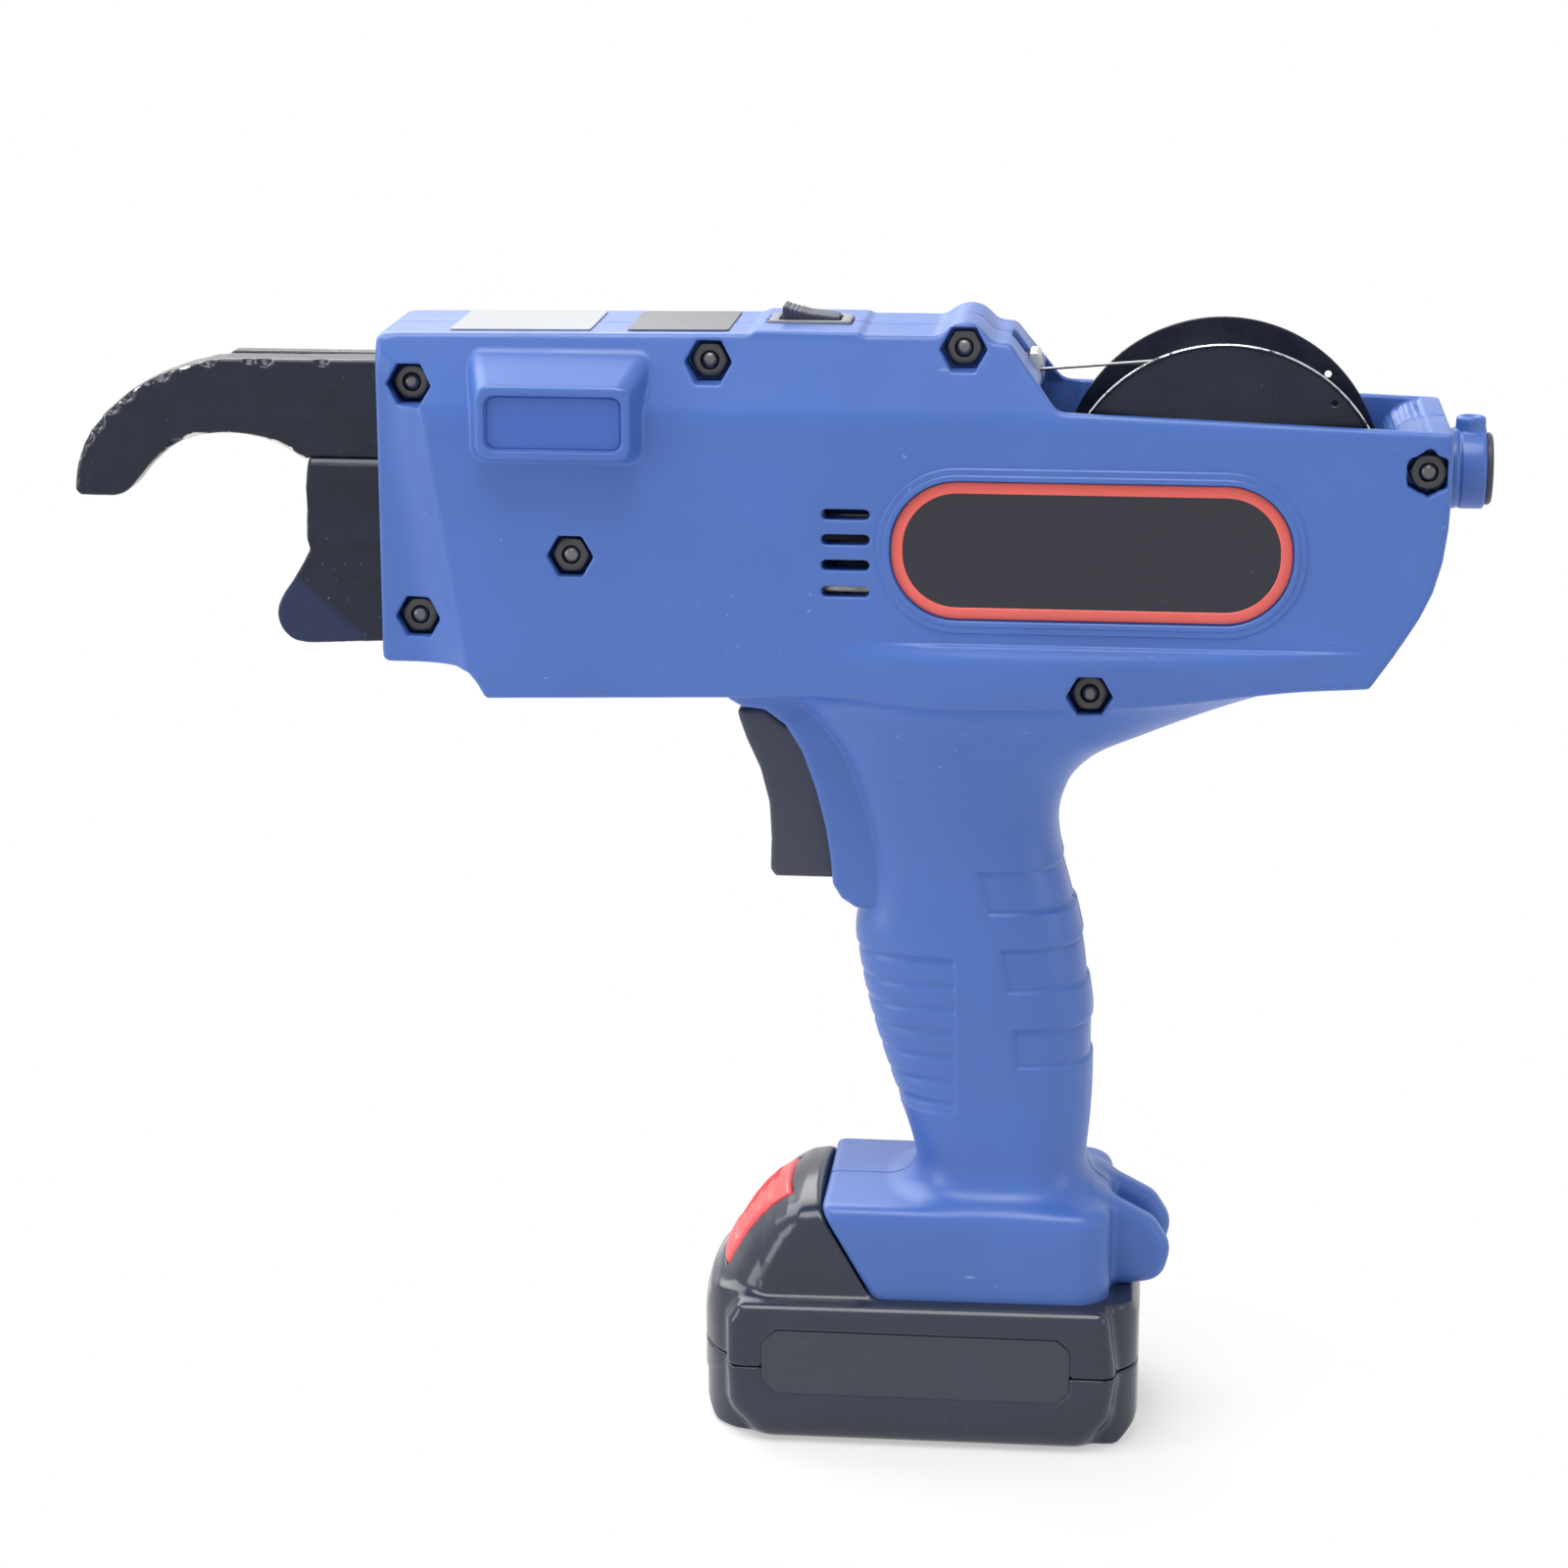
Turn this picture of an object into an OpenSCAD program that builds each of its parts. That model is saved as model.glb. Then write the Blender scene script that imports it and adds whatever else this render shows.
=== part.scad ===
// Rebar tying tool: feeds a loop of wire round two crossed bars and twists it tight.
// X runs from the hook to the dial, Y from the nut side to the screw side, Z up from the battery's foot.

/* [Body] */
// Length of the body from the nose face to the wall before the reel
front_len = 152.5; // [150:0.5:158]
// Height of the body
body_h = 85.5; // [84.5:0.5:90]
// Width of the flat top
top_w = 45; // [43:0.5:47]
// Height of the sloping shoulders below the top
shoulder_h = 16.5; // [14:0.5:18]
// Thickness of the housing walls
wall = 3; // [2.6:0.1:3.2]
// Width across the narrow nose flange
flange_w = 40; // [39:0.5:41]

/* [Reel] */
// Width of the wire reel over its flanges
reel_w = 44; // [43:0.5:46]
// Diameter of the reel flanges
reel_d = 74.6; // [73:0.2:76]
// Thickness of one reel flange
flange_t = 2; // [1.6:0.1:2.4]
// Diameter of the reel hub
hub_d = 32; // [26:1:40]
// Diameter of the wound wire
winding_d = 61; // [58:0.5:67]
// Diameter of the tie wire
wire_d = 0.8; // [0.7:0.05:0.9]
// Turns in the outer layer of wire
turns = 20; // [12:1:22]
// Diameter of the reel spindle
spindle_d = 8; // [6:0.5:10]

/* [Jaws] */
// Reach of the hook in front of the nose face
jaw_reach = 75.5; // [72:0.5:80]
// Height over both jaws
jaw_h = 66; // [65:0.5:67]
// Thickness of the hook
hook_t = 11; // [9:0.5:12]
// Thickness of the plate beside the hook
guide_t = 4.7; // [3:0.1:5]
// Outer radius of the hook
hook_outer_r = 33.5; // [32:0.5:35]
// Inner radius of the hook
hook_inner_r = 27; // [25:0.5:28]
// Width over the cheeks of the lower jaw
jaw_w = 26; // [25:0.5:28]
// Thickness of a cheek
cheek_t = 3; // [2.4:0.1:3.2]

/* [Handle] */
// Height of the grip between base and body
grip_h = 115.2; // [114:0.5:124]
// Depth of the grip, front to back
grip_depth = 54; // [53:0.5:58]
// Width of the grip
grip_w = 37; // [36:0.5:38]
// Distance from the nose face to the front of the base
base_setback = 101.5; // [100:0.5:104]
// Length of the base
base_len = 70.5; // [69:0.5:74]
// Height of the base
base_h = 31; // [30:0.5:33]
// Height of the trigger
trigger_h = 39; // [38:0.5:41]
// Width of the trigger
trigger_w = 18; // [15:0.5:19]
// Travel of the trigger
trigger_travel = 6; // [4:0.5:6.5]

/* [Battery] */
// Length of the battery
batt_len = 105.5; // [104:0.5:112]
// Width of the battery over its cheeks
batt_w = 62; // [61:0.5:66]
// Height of the battery up to its shoulder
batt_h = 35; // [33:0.5:38]
// Height of the seam between the battery shells
seam_h = 19.5; // [18:0.5:21]
// Wall of the battery shells
batt_wall = 2.4; // [2:0.1:2.6]
// Height of the front hump above the shoulder
hump_h = 28.5; // [28:0.5:30]
// Diameter of a cell
cell_d = 18.4; // [17.5:0.1:18.5]
// Length of a cell
cell_len = 65; // [60:0.5:66]
// Width of the release button
button_w = 22; // [18:0.5:24]
// Travel of the release button
button_travel = 2.5; // [1.5:0.1:3]

/* [Drive] */
// Height of the twist shaft above the foot of the body
twist_rise = 42.5; // [42:0.5:44]
// Diameter of the twist shaft
twist_d = 9; // [7:0.5:9]
// Diameter of the twist motor
motor_d = 34; // [30:0.5:34.5]
// Length of the twist motor
motor_len = 57; // [50:1:60]
// Module of all gears
gear_module = 1; // [0.98:0.01:1.02]
// Thickness of the feed gears
feed_gear_t = 3.4; // [2.6:0.1:3.6]
// Diameter of the feed rollers
roller_d = 14; // [13:0.2:14.4]
// Diameter of the feed motor
feed_motor_d = 23; // [20:0.5:24]

/* [Fasteners and dial] */
// Diameter of the housing bolts
bolt_d = 5; // [4:0.1:5.2]
// Width across the flats of a nut
nut_af = 8; // [7:0.1:8.4]
// Thickness of a nut
nut_t = 4; // [3:0.1:4.2]
// Diameter of the torque dial
dial_d = 18.5; // [17:0.5:20]
// Length of the torque dial
dial_len = 9; // [8:0.5:11]
// Thickness of the dial's end cap
cap_t = 1.5; // [1:0.1:2]

/* [Hidden] */

// Clearances: seat between still pieces, run between turning ones, slide between sliding ones
seat = 0.3;
run = 0.04;
slide = 0.4;
// Overrun of cuts
over = 1;
// Gap between the two housing halves
seam = 0.05;
// Small ledges, lips and steps
lip = 1;
round_fn = 48;
$fn = round_fn;

// Main positions
reel_gap = 0.6;
// The bay fits the flanges, or the winding where that is larger
bay_d = max(reel_d, winding_d + 2 * reel_gap);
boss_room = 10.3;
tool_len = jaw_reach + front_len + wall + reel_gap + bay_d + boss_room + wall + dial_len + cap_t;
nose_x = -tool_len / 2 + jaw_reach;
bay_x = nose_x + front_len;
rear_x = bay_x + wall + reel_gap + bay_d + boss_room + wall;
rear_len = rear_x - bay_x;
side_gap = 1.5;
in_w = reel_w / 2 + side_gap;
half_w = in_w + wall;
base_z = batt_h + seat;
grip_z = base_z + base_h;
body_z = grip_z + grip_h;
wound_over = max(0, winding_d + 2 * reel_gap - reel_d);
top_z = body_z + body_h + wound_over;
crease_z = top_z - shoulder_h;
flange_half = flange_w / 2;
base_x = nose_x + base_setback;
base_inset = 5;
base_half = batt_w / 2 - base_inset;
reel_lift = 9.7;
reel_x = bay_x + wall + reel_gap + bay_d / 2;
reel_z = body_z + reel_lift + bay_d / 2;

// A point in the front or the rear of the body from its shares of length and height
function front_x(share) = nose_x + share * front_len;
function back_x(share) = bay_x + share * rear_len;
function body_at(share) = body_z + share * (top_z - body_z);

// Small helpers for outlines
function arc(cx, cz, r, a0, a1, steps) =
    [for (i = [0 : steps]) let (a = a0 + (a1 - a0) * i / steps) [cx + r * cos(a), cz + r * sin(a)]];
function inward(a, b) = let (d = (b - a) / norm(b - a)) [d[1], -d[0]];
function inset(pts, dist) = let (n = len(pts)) [for (i = [0 : n - 1])
    let (u = inward(pts[(i + n - 1) % n], pts[i]), v = inward(pts[i], pts[(i + 1) % n]))
    pts[i] + dist * (u + v) / (1 + u * v)];

// Extrusions of an outline along each axis, between two stations
module along_y(y0, y1) {
    translate([0, y1, 0]) rotate([90, 0, 0]) linear_extrude(y1 - y0) children();
}
module along_x(x0, x1) {
    translate([x0, 0, 0]) rotate([90, 0, 90]) linear_extrude(x1 - x0) children();
}
module rod_y(x, z, r, y0, y1) {
    translate([x, y1, z]) rotate([90, 0, 0]) cylinder(r = r, h = y1 - y0);
}
module rod_x(y, z, r, x0, x1) {
    translate([x0, y, z]) rotate([0, 90, 0]) cylinder(r = r, h = x1 - x0);
}
module block(x0, x1, y0, y1, z0, z1) {
    translate([x0, y0, z0]) cube([x1 - x0, y1 - y0, z1 - z0]);
}
// A round bar between two points
module bar(a, b, r) {
    d = b - a;
    translate(a) rotate([0, acos(d[2] / norm(d)), atan2(d[1], d[0])]) cylinder(r = r, h = norm(d));
}
module both_sides() {
    children();
    mirror([0, 1, 0]) children();
}

// One unbroken round wire wound along Y, its ends running straight along the turn
tube_sides = 6;
function coil_at(t, r, y0, pitch) = [r * cos(360 * t), y0 + pitch * t, r * sin(360 * t)];
function coil_frame(t, r, wire_r, y0, pitch, k) =
    let (a = 360 * t, b = 360 * k / tube_sides, out = [cos(a), 0, sin(a)])
    coil_at(t, r, y0, pitch) + wire_r * (cos(b) * out + sin(b) * [0, 1, 0]);
function coil_run(t, r) = r * [-sin(360 * t), 0, cos(360 * t)] / r;
function coil_rings(count, rings, r, wire_r, y0, pitch) = concat(
    [[for (k = [0 : tube_sides - 1]) coil_frame(0, r, wire_r, y0, pitch, k) - 2 * wire_r * coil_run(0,
    r)]],
    [for (i = [0 : count * rings]) [for (k = [0 : tube_sides - 1])
        coil_frame(i / rings, r, wire_r, y0, pitch, k)]],
    [[for (k = [0 : tube_sides - 1])
        coil_frame(count, r, wire_r, y0, pitch, k) + 2 * wire_r * coil_run(count, r)]]);
// A solid through a list of rings that all have the same number of points
module loft(rings) {
    n = len(rings[0]);
    m = len(rings);
    points = [for (ring = rings) for (p = ring) p];
    sides = [for (i = [0 : m - 2]) for (k = [0 : n - 1]) let (a = i * n + k, b = i * n + (k + 1) % n)
        each [[a, b + n, b], [a, a + n, b + n]]];
    start = [[for (k = [0 : n - 1]) k]];
    finish = [[for (k = [n - 1 : -1 : 0]) (m - 1) * n + k]];
    polyhedron(points = points, faces = concat(sides, start, finish));
}
module coil(count, rings, r, wire_r, y0, pitch) {
    loft(coil_rings(count, rings, r, wire_r, y0, pitch));
}

// Gear outlines with involute flanks
pressure_angle = 20;
addendum_share = 0.8;
dedendum_share = 1.15;
backlash = 0.16;
flank_shares = [0, 0.3, 0.6, 1];
function inv(a) = tan(a) - a * PI / 180;
function flank(rho, n) = let (r = gear_module * n / 2, rb = r * cos(pressure_angle))
    90 / n - backlash / r * 90 / PI + (inv(pressure_angle) - inv(acos(min(1, rb / rho)))) * 180 / PI;
function gear_r(n) = gear_module * n / 2;
function gear_points(n) = let (r = gear_r(n), root = r - dedendum_share * gear_module,
    base = max(r * cos(pressure_angle), root), tip = r + addendum_share * gear_module)
    [for (i = [0 : n - 1]) each concat(
        [[root, i * 360 / n - flank(base, n)]],
        [for (s = flank_shares) let (rho = base + s * (tip - base)) [rho, i * 360 / n - flank(rho, n)]],
        [for (j = [len(flank_shares) - 1 : -1 : 0]) let (rho = base + flank_shares[j] * (tip - base))
            [rho, i * 360 / n + flank(rho, n)]],
        [[root, i * 360 / n + flank(base, n)]])];
module gear(n, turn) {
    polygon([for (p = gear_points(n)) p[0] * [cos(p[1] + turn), sin(p[1] + turn)]]);
}

// Heights that follow from the drive: twist shaft, feed gears, wire and jaws
twist_teeth = 28;
twist_pinion_teeth = 12;
feed_pinion_teeth = 12;
transfer_teeth = 26;
roller_teeth = 23;
twist_z = body_z + twist_rise;
gear_drop = 8.4966;
gear_z = twist_z - gear_drop;
roller_z = gear_z + gear_r(transfer_teeth) + gear_r(roller_teeth);
wire_z = roller_z + roller_d / 2;
hook_over = 10;
hook_top = wire_z + hook_over;
jaw_z = hook_top - jaw_h;

// Bolts: two through the jaws, one in the feed gears, four along the edges of the body
jaw_bolt_shares = [0.0531, 0.0577];
gear_bolt_share = 0.2977;
hook_bolt_drop = 3.2;
chin_bolt_rise = 8.3;
top_bolt_shares = [[0.5036, 0.9158], [0.882, 0.9567]];
rear_bolt_shares = [[0.1311, 0.0491], [0.9432, 0.662]];
bolts = concat([[front_x(jaw_bolt_shares[0]), hook_top - hook_bolt_drop],
    [front_x(jaw_bolt_shares[1]), jaw_z + chin_bolt_rise],
    [front_x(top_bolt_shares[0][0]), body_at(top_bolt_shares[0][1])],
    [front_x(gear_bolt_share), gear_z],
    [front_x(top_bolt_shares[1][0]), body_at(top_bolt_shares[1][1])]],
    [for (s = rear_bolt_shares) [back_x(s[0]), body_at(s[1])]]);
// Half width of the body where each bolt is
nut_sink = 2.6;
shoulder_half = half_w - nut_sink;
bolt_faces = [flange_half, flange_half, shoulder_half, half_w, shoulder_half, half_w, half_w];
nut_inset = 0.6;
pocket_depth = nut_t + nut_inset;
bolt_r = bolt_d / 2;
hole_room = 0.25;
bolt_hole_r = bolt_r + hole_room;
head_d = 8.3;
head_t = 4;
boss_r = 5.5;
bump_r = 6.2;
middle = 3;
gear_axis = bolts[middle];

// Gear trains
motor_z = twist_z - gear_r(twist_teeth) - gear_r(twist_pinion_teeth);
roller_x = gear_axis[0];
feed_turn = -78;
feed_reach = gear_r(transfer_teeth) + gear_r(feed_pinion_teeth);
feed_x = gear_axis[0] + feed_reach * cos(feed_turn);
feed_z = gear_axis[1] + feed_reach * sin(feed_turn);
ledge = 1.4;
gear_y = -half_w + pocket_depth + ledge + seat;

// Wire path: one straight line that leaves the winding at a tangent and passes between the rollers
wire_r = wire_d / 2;
nip_gap = 0.6;
press_z = wire_z + roller_d / 2;
inlet_back = 1;
inlet_x = bay_x - inlet_back;
wire_lead_r = winding_d / 2 + wire_r + seat;
wire_dist = norm([reel_x - roller_x, reel_z - wire_z]);
wire_angle = atan2(wire_z - reel_z, roller_x - reel_x) - acos(wire_lead_r / wire_dist);
wire_start = [reel_x + wire_lead_r * cos(wire_angle), 0, reel_z + wire_lead_r * sin(wire_angle)];
wire_nip = [roller_x, 0, wire_z];
wire_way = wire_nip - wire_start;
inlet_share = (inlet_x - wire_start[0]) / wire_way[0];
inlet_z = wire_start[2] + inlet_share * wire_way[2];
wire_end_share = 1.16;
tube_shares = [0.33, 0.93];
tube_r = 1.3;

// Housing
body_shares = [[0, 0.982], [0.561, 0.998], [0.849, 1], [0.9475, 0.981]];
slope_shares = [[0.0415, 0.806], [0.082, 0.785], [1, 0.766], [1, 0.579], [0.964, 0.333], [0.82, 0.0795],
    [0.3716, 0.049]];
foot_shares = [[0.1646, 0], [0.1377, 0.0807], [0, 0.0807]];
body_outline = concat([for (s = body_shares) [front_x(s[0]), body_at(s[1])]],
    [for (s = slope_shares) [back_x(s[0]), body_at(s[1])]],
    [for (s = foot_shares) [front_x(s[0]), body_at(s[1])]]);
// Half of the cross section, nut side, drawn in by a wall
function half_section(t) = [[over, body_z - over], [over, top_z + over], [-top_w / 2 + t, top_z + over],
    [-top_w / 2 + t, top_z], [-half_w + t, crease_z], [-half_w + t, body_z - over]];
// Grip: height share, then front, rear and width shares
grip_shares = [[-0.07, 0.444, 1.185, 0.97], [0, 0.426, 1.185, 0.97], [0.119, 0.344, 1.204, 0.95],
    [0.24, 0.256, 1.204, 0.97], [0.327, 0.202, 1.202, 1], [0.44, 0.156, 1.17, 1],
    [0.553, 0.185, 1.118, 1],
    [0.64, 0.196, 1.063, 1], [0.727, 0.16, 1.037, 1.03], [0.796, 0.117, 1.067, 1.06],
    [0.865, 0.065, 1.167, 1.12], [0.917, -0.02, 1.41, 1.18], [0.978, -0.143, 1.685, 1.27],
    [1.03, -0.28, 1.87, 1.3]];
grip_steps = 14;
grip_power_share = 0.72;
function bow(a) = sign(a) * pow(abs(a), grip_power_share);
function grip_ring(s, t) = let (x0 = base_x + s[1] * grip_depth + t, x1 = base_x + s[2] * grip_depth - t,
    half = s[3] * grip_w / 2 - t, z = grip_z + s[0] * grip_h)
    concat([[x0, 2 * over, z]], [for (i = [0 : grip_steps]) let (a = 180 + 180 * i / grip_steps)
        [(x0 + x1) / 2 + (x1 - x0) / 2 * bow(cos(a)), half * bow(sin(a)), z]], [[x1, 2 * over, z]]);
// Trigger and the narrow guard behind it, as shares of the trigger's height
trigger_drop = 8.5;
trigger_z = body_z - trigger_drop - trigger_h;
trigger_lead = 19.5;
trigger_x = base_x - trigger_lead;
trigger_shares = [[0.05, 1], [0, 0.98], [0.046, 0.895], [0.13, 0.708], [0.185, 0.497], [0.197, 0.28],
    [0.192, 0.044], [0.226, 0], [0.808, 0], [0.808, 0.94], [0.4, 1]];
guard_shares = [[0.582, 0.023], [0.564, 0.2], [0.533, 0.39], [0.474, 0.62], [0.392, 0.846], [0.292, 1.01],
    [0.169, 1.103], [0.013, 1.13], [0.013, 1.27], [1.064, 1.27], [1.064, -0.2], [0.69, -0.2],
    [0.72, -0.115]];
function trigger_at(shares) = [for (s = shares) [trigger_x + s[0] * trigger_h,
    trigger_z + s[1] * trigger_h]];
guard_wall = 4;
guard_half = trigger_w / 2 + guard_wall;
// Base outline: shares of its length and height
base_shares = [[0, 0.79], [0.02, 0.78], [0.2, 0], [0.945, 0], [1, 0.12], [1, 0.68], [0.965, 0.86],
    [0.91, 1],
    [0.33, 1], [0.28, 0.87]];
lug_shares = [[0, 0.72], [0.63, 0.58], [0.94, 0.46], [1, 0.36], [0.94, 0.18], [0.66, 0.05], [0, 0.02]];
lug_len = 13.3;
lug_gap = 10;
lug_t = 7.5;
base_end = base_x + base_len;
// Rail slot under the base
rail_half = 20;
rail_neck = 17;
rail_lip = 7.4;
rail_z = base_z + rail_lip;
rail_t = 9.6;
rail_top = rail_z + rail_t;
slot_end = base_end - wall;
// Boss over the feed gears on each side
boss_out = 7;
boss_shares = [[0.145, 0.651], [0.416, 0.92]];
boss_slope = 3.2;
boss_root = 4;
window_depth = 1;
window_inset = 2;
flange_foot_share = 0.1436;
flange_x = front_x(flange_foot_share);
flange_lean = 8.84;
eave_h = 5;
flange_top = top_z - eave_h;
// Name plate
plate_w = 90;
plate_h = 31.5;
plate_r = 14.5;
plate_t = 0.8;
groove = 3;
plate_sink = 1.2;
plate_share = [0.126, 0.4375];
plate_x = back_x(plate_share[0]);
plate_z = body_at(plate_share[1]);
module lozenge(w, h, r) {
    square([w - 2 * r, h], center = true);
    square([w, h - 2 * r], center = true);
    for (sx = [-1, 1], sy = [-1, 1]) translate([sx * (w / 2 - r), sy * (h / 2 - r)]) circle(r = r);
}
// Vents
vent_len = 11;
vent_h = 2.4;
vent_shares = [0.524, 0.457, 0.388, 0.317];
vent_x_share = 0.712;
// Switch on the top
switch_len = 19;
switch_w = 12.6;
switch_x_share = 0.645;
switch_x = front_x(switch_x_share);
switch_rim = 1.4;
switch_pad = 1;
switch_deep = 11;
rocker_tilt = 10;
rocker_rise = 1.4;
// Jaw seats
jaw_root = 13.5;
hook_side = 1.5;
hook_y0 = -hook_t / 2 - hook_side;
hook_y1 = hook_y0 + hook_t;
mouth_half = jaw_w / 2 + side_gap;
// Dial
dial_share = 0.6235;
dial_z = body_at(dial_share);
pot_r = 6;

module half_body() {
    difference() {
        union() {
            intersection() {
                along_y(-half_w, over) polygon(body_outline);
                along_x(nose_x - over, rear_x + over) polygon(half_section(0));
            }
            gear_boss();
            block(switch_x - switch_len / 2 - switch_rim, switch_x + switch_len / 2 + switch_rim,
                -top_w / 2 + switch_rim, over, top_z - wall, top_z + switch_pad);
            rod_y(bolts[4][0], bolts[4][1], bump_r, -top_w / 2, over);
        }
        nose_recess();
        translate([plate_x, -half_w + plate_sink, plate_z]) rotate([90, 0, 0])
            linear_extrude(plate_sink + over) lozenge(plate_w + 2 * groove, plate_h + 2 * groove,
            plate_r + groove);
    }
}
module gear_boss() {
    x0 = front_x(boss_shares[0][0]);
    x1 = front_x(boss_shares[1][0]);
    z0 = body_at(boss_shares[0][1]);
    z1 = body_at(boss_shares[1][1]);
    face = half_w + boss_out;
    root = half_w - boss_root;
    difference() {
        intersection() {
            translate([0, 0, z0]) linear_extrude(z1 - z0)
                polygon([[x0, -root], [x0 + boss_slope, -face], [x1 - boss_slope, -face], [x1, -root]]);
            along_x(x0, x1)
                polygon([[-root, z0], [-face, z0 + boss_slope / 2], [-face, z1 - boss_slope],
                [-root, z1]]);
        }
        block(x0 + boss_slope + window_inset, x1 - boss_slope - window_inset, -face - over,
            -face + window_depth,
            z0 + boss_slope / 2 + window_inset, z1 - boss_slope - window_inset);
    }
}
// The nose is narrower than the body, with a leaning ramp between
module nose_recess() {
    ramp = half_w - flange_half;
    intersection() {
        translate([flange_x, 0, body_z]) rotate([0, -flange_lean, 0]) translate([0, 0, -body_h])
            linear_extrude(2 * body_h) polygon([[over, -half_w - over], [-ramp, -flange_half],
                [-front_len, -flange_half], [-front_len, -half_w - body_h], [over, -half_w - body_h]]);
        block(nose_x - front_len, rear_x, -half_w - body_h, 0, body_z - body_h, flange_top);
    }
}
module half_cavity() {
    intersection() {
        along_y(-in_w, 2 * over) polygon(inset(body_outline, wall));
        union() {
            along_x(nose_x + wall, flange_x + wall) polygon(half_nose(wall));
            along_x(flange_x, bay_x) polygon(half_section(wall));
            along_x(bay_x + wall, rear_x - wall) polygon(half_section(wall));
        }
    }
    block(bay_x + wall, rear_x - wall, -in_w, 2 * over, reel_z, top_z + over);
    block(nose_x - over, nose_x + wall + over, -mouth_half, 2 * over, jaw_z - seat, hook_top + seat);
    block(nose_x, nose_x + jaw_root + seat, -mouth_half, 2 * over, jaw_z - seat, jaw_z + jaw_h / 2);
    loft([for (s = grip_shares) grip_ring(s, wall)]);
    block(base_x + wall, bay_x - 2 * wall, -passage_half, 2 * over, body_z - 2 * wall, body_z + 3 * wall);
}
passage_half = 14;
function half_nose(t) = [[over, body_z - over], [over, top_z + over], [-flange_half + t, top_z + over],
    [-flange_half + t, body_z - over]];
module half_base() {
    base_outline = [for (s = base_shares) [base_x + s[0] * base_len, base_z + s[1] * base_h]];
    intersection() {
        along_y(-base_half, over) polygon(base_outline);
        along_x(base_x - over, base_end + over) polygon([[over, base_z - over], [over, grip_z + over],
            [-grip_w / 2, grip_z + over], [-base_half, grip_z - base_soft], [-base_half, base_z - over]]);
    }
    along_y(-lug_gap / 2 - lug_t, -lug_gap / 2)
        polygon([for (s = lug_shares) [base_end - over + s[0] * (lug_len + over),
        base_z + s[1] * base_h]]);
}
base_soft = 8;
module half_slot() {
    block(base_x - over, slot_end, -rail_half - slide, 2 * over, rail_z, rail_top + slide);
    block(base_x - over, slot_end, -rail_neck - slide, 2 * over, base_z - over, rail_z + over);
    block(slot_end - lead_slot, slot_end - wall, -lead_half, 2 * over, rail_top, grip_z);
}
lead_slot = 22;
lead_half = 9;
module half_trigger_slot() {
    along_y(-trigger_w / 2 - slide, 2 * over) polygon([
        [trigger_x - over, trigger_z - slide], [trigger_x + trigger_h, trigger_z - slide],
        [trigger_x + trigger_h, trigger_z + trigger_h + slide],
        [trigger_x - over, trigger_z + trigger_h + slide]]);
}
// Holes, pockets and bosses of the bolts
module bosses(hex) {
    ends = [hex ? -hook_y0 + seat : hook_y1 + guide_t + seat, jaw_w / 2 + seat, -over, -gear_y + seat,
        -over, -over, -over];
    intersection() {
        union() {
            for (i = [0 : len(bolts) - 1]) rod_y(bolts[i][0], bolts[i][1], boss_r,
                -bolt_faces[i] + seam, -ends[i]);
            rod_y(bolts[6][0], bolts[6][1], rear_boss_r, -half_w + over, over);
        }
        along_y(-half_w, 2 * over) polygon(body_outline);
    }
    rod_y(reel_x, reel_z, spindle_d / 2 + wall, -in_w - over, -reel_w / 2 - seat);
}
rear_boss_r = 8.5;
module pockets(hex) {
    for (i = [0 : len(bolts) - 1]) let (face = bolt_faces[i], p = bolts[i]) {
        rod_y(p[0], p[1], bolt_hole_r, -half_w - over, 2 * over);
        if (hex)
            translate([p[0], -face + pocket_depth, p[1]]) rotate([90, 0, 0])
                cylinder(r = (nut_af / 2 + slide) / cos(30), h = pocket_depth + half_w, $fn = 6);
        else
            rod_y(p[0], p[1], head_d / 2 + slide, -half_w - over, -face + pocket_depth);
    }
    rod_y(reel_x, reel_z, spindle_d / 2 + run, -in_w - spindle_in, 2 * over);
}
spindle_in = 0.8;
module half_housing(hex) {
    difference() {
        union() {
            difference() {
                union() {
                    half_body();
                    loft([for (s = grip_shares) grip_ring(s, 0)]);
                    along_y(-guard_half, over) polygon(trigger_at(guard_shares));
                    half_base();
                }
                half_cavity();
                half_slot();
                half_trigger_slot();
            }
            bosses(hex);
        }
        pockets(hex);
        for (s = vent_shares) translate([front_x(vent_x_share), 0, body_at(s)]) rotate([90, 0, 0])
            linear_extrude(half_w + over) lozenge(vent_len, vent_h, vent_h / 2 - seam);
        block(switch_x - switch_len / 2 + switch_rim, switch_x + switch_len / 2 - switch_rim,
            -switch_w / 2 + switch_rim, 2 * over, top_z - switch_deep, top_z + switch_pad + over);
        block(inlet_x - inlet_len, bay_x + 2 * wall, -inlet_w / 2 - seat, 2 * over,
            inlet_z - inlet_h / 2 - seat,
            inlet_z + inlet_h / 2 + seat);
        rod_x(0, dial_z, dial_stem_r + run, rear_x - wall, rear_x + over);
        block(nose_x - tool_len, rear_x + tool_len, -seam, 2 * half_w, -over, top_z + body_h);
    }
}
dial_stem_r = 3;
inlet_len = 7;
inlet_w = 10;
inlet_h = 9;

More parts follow.
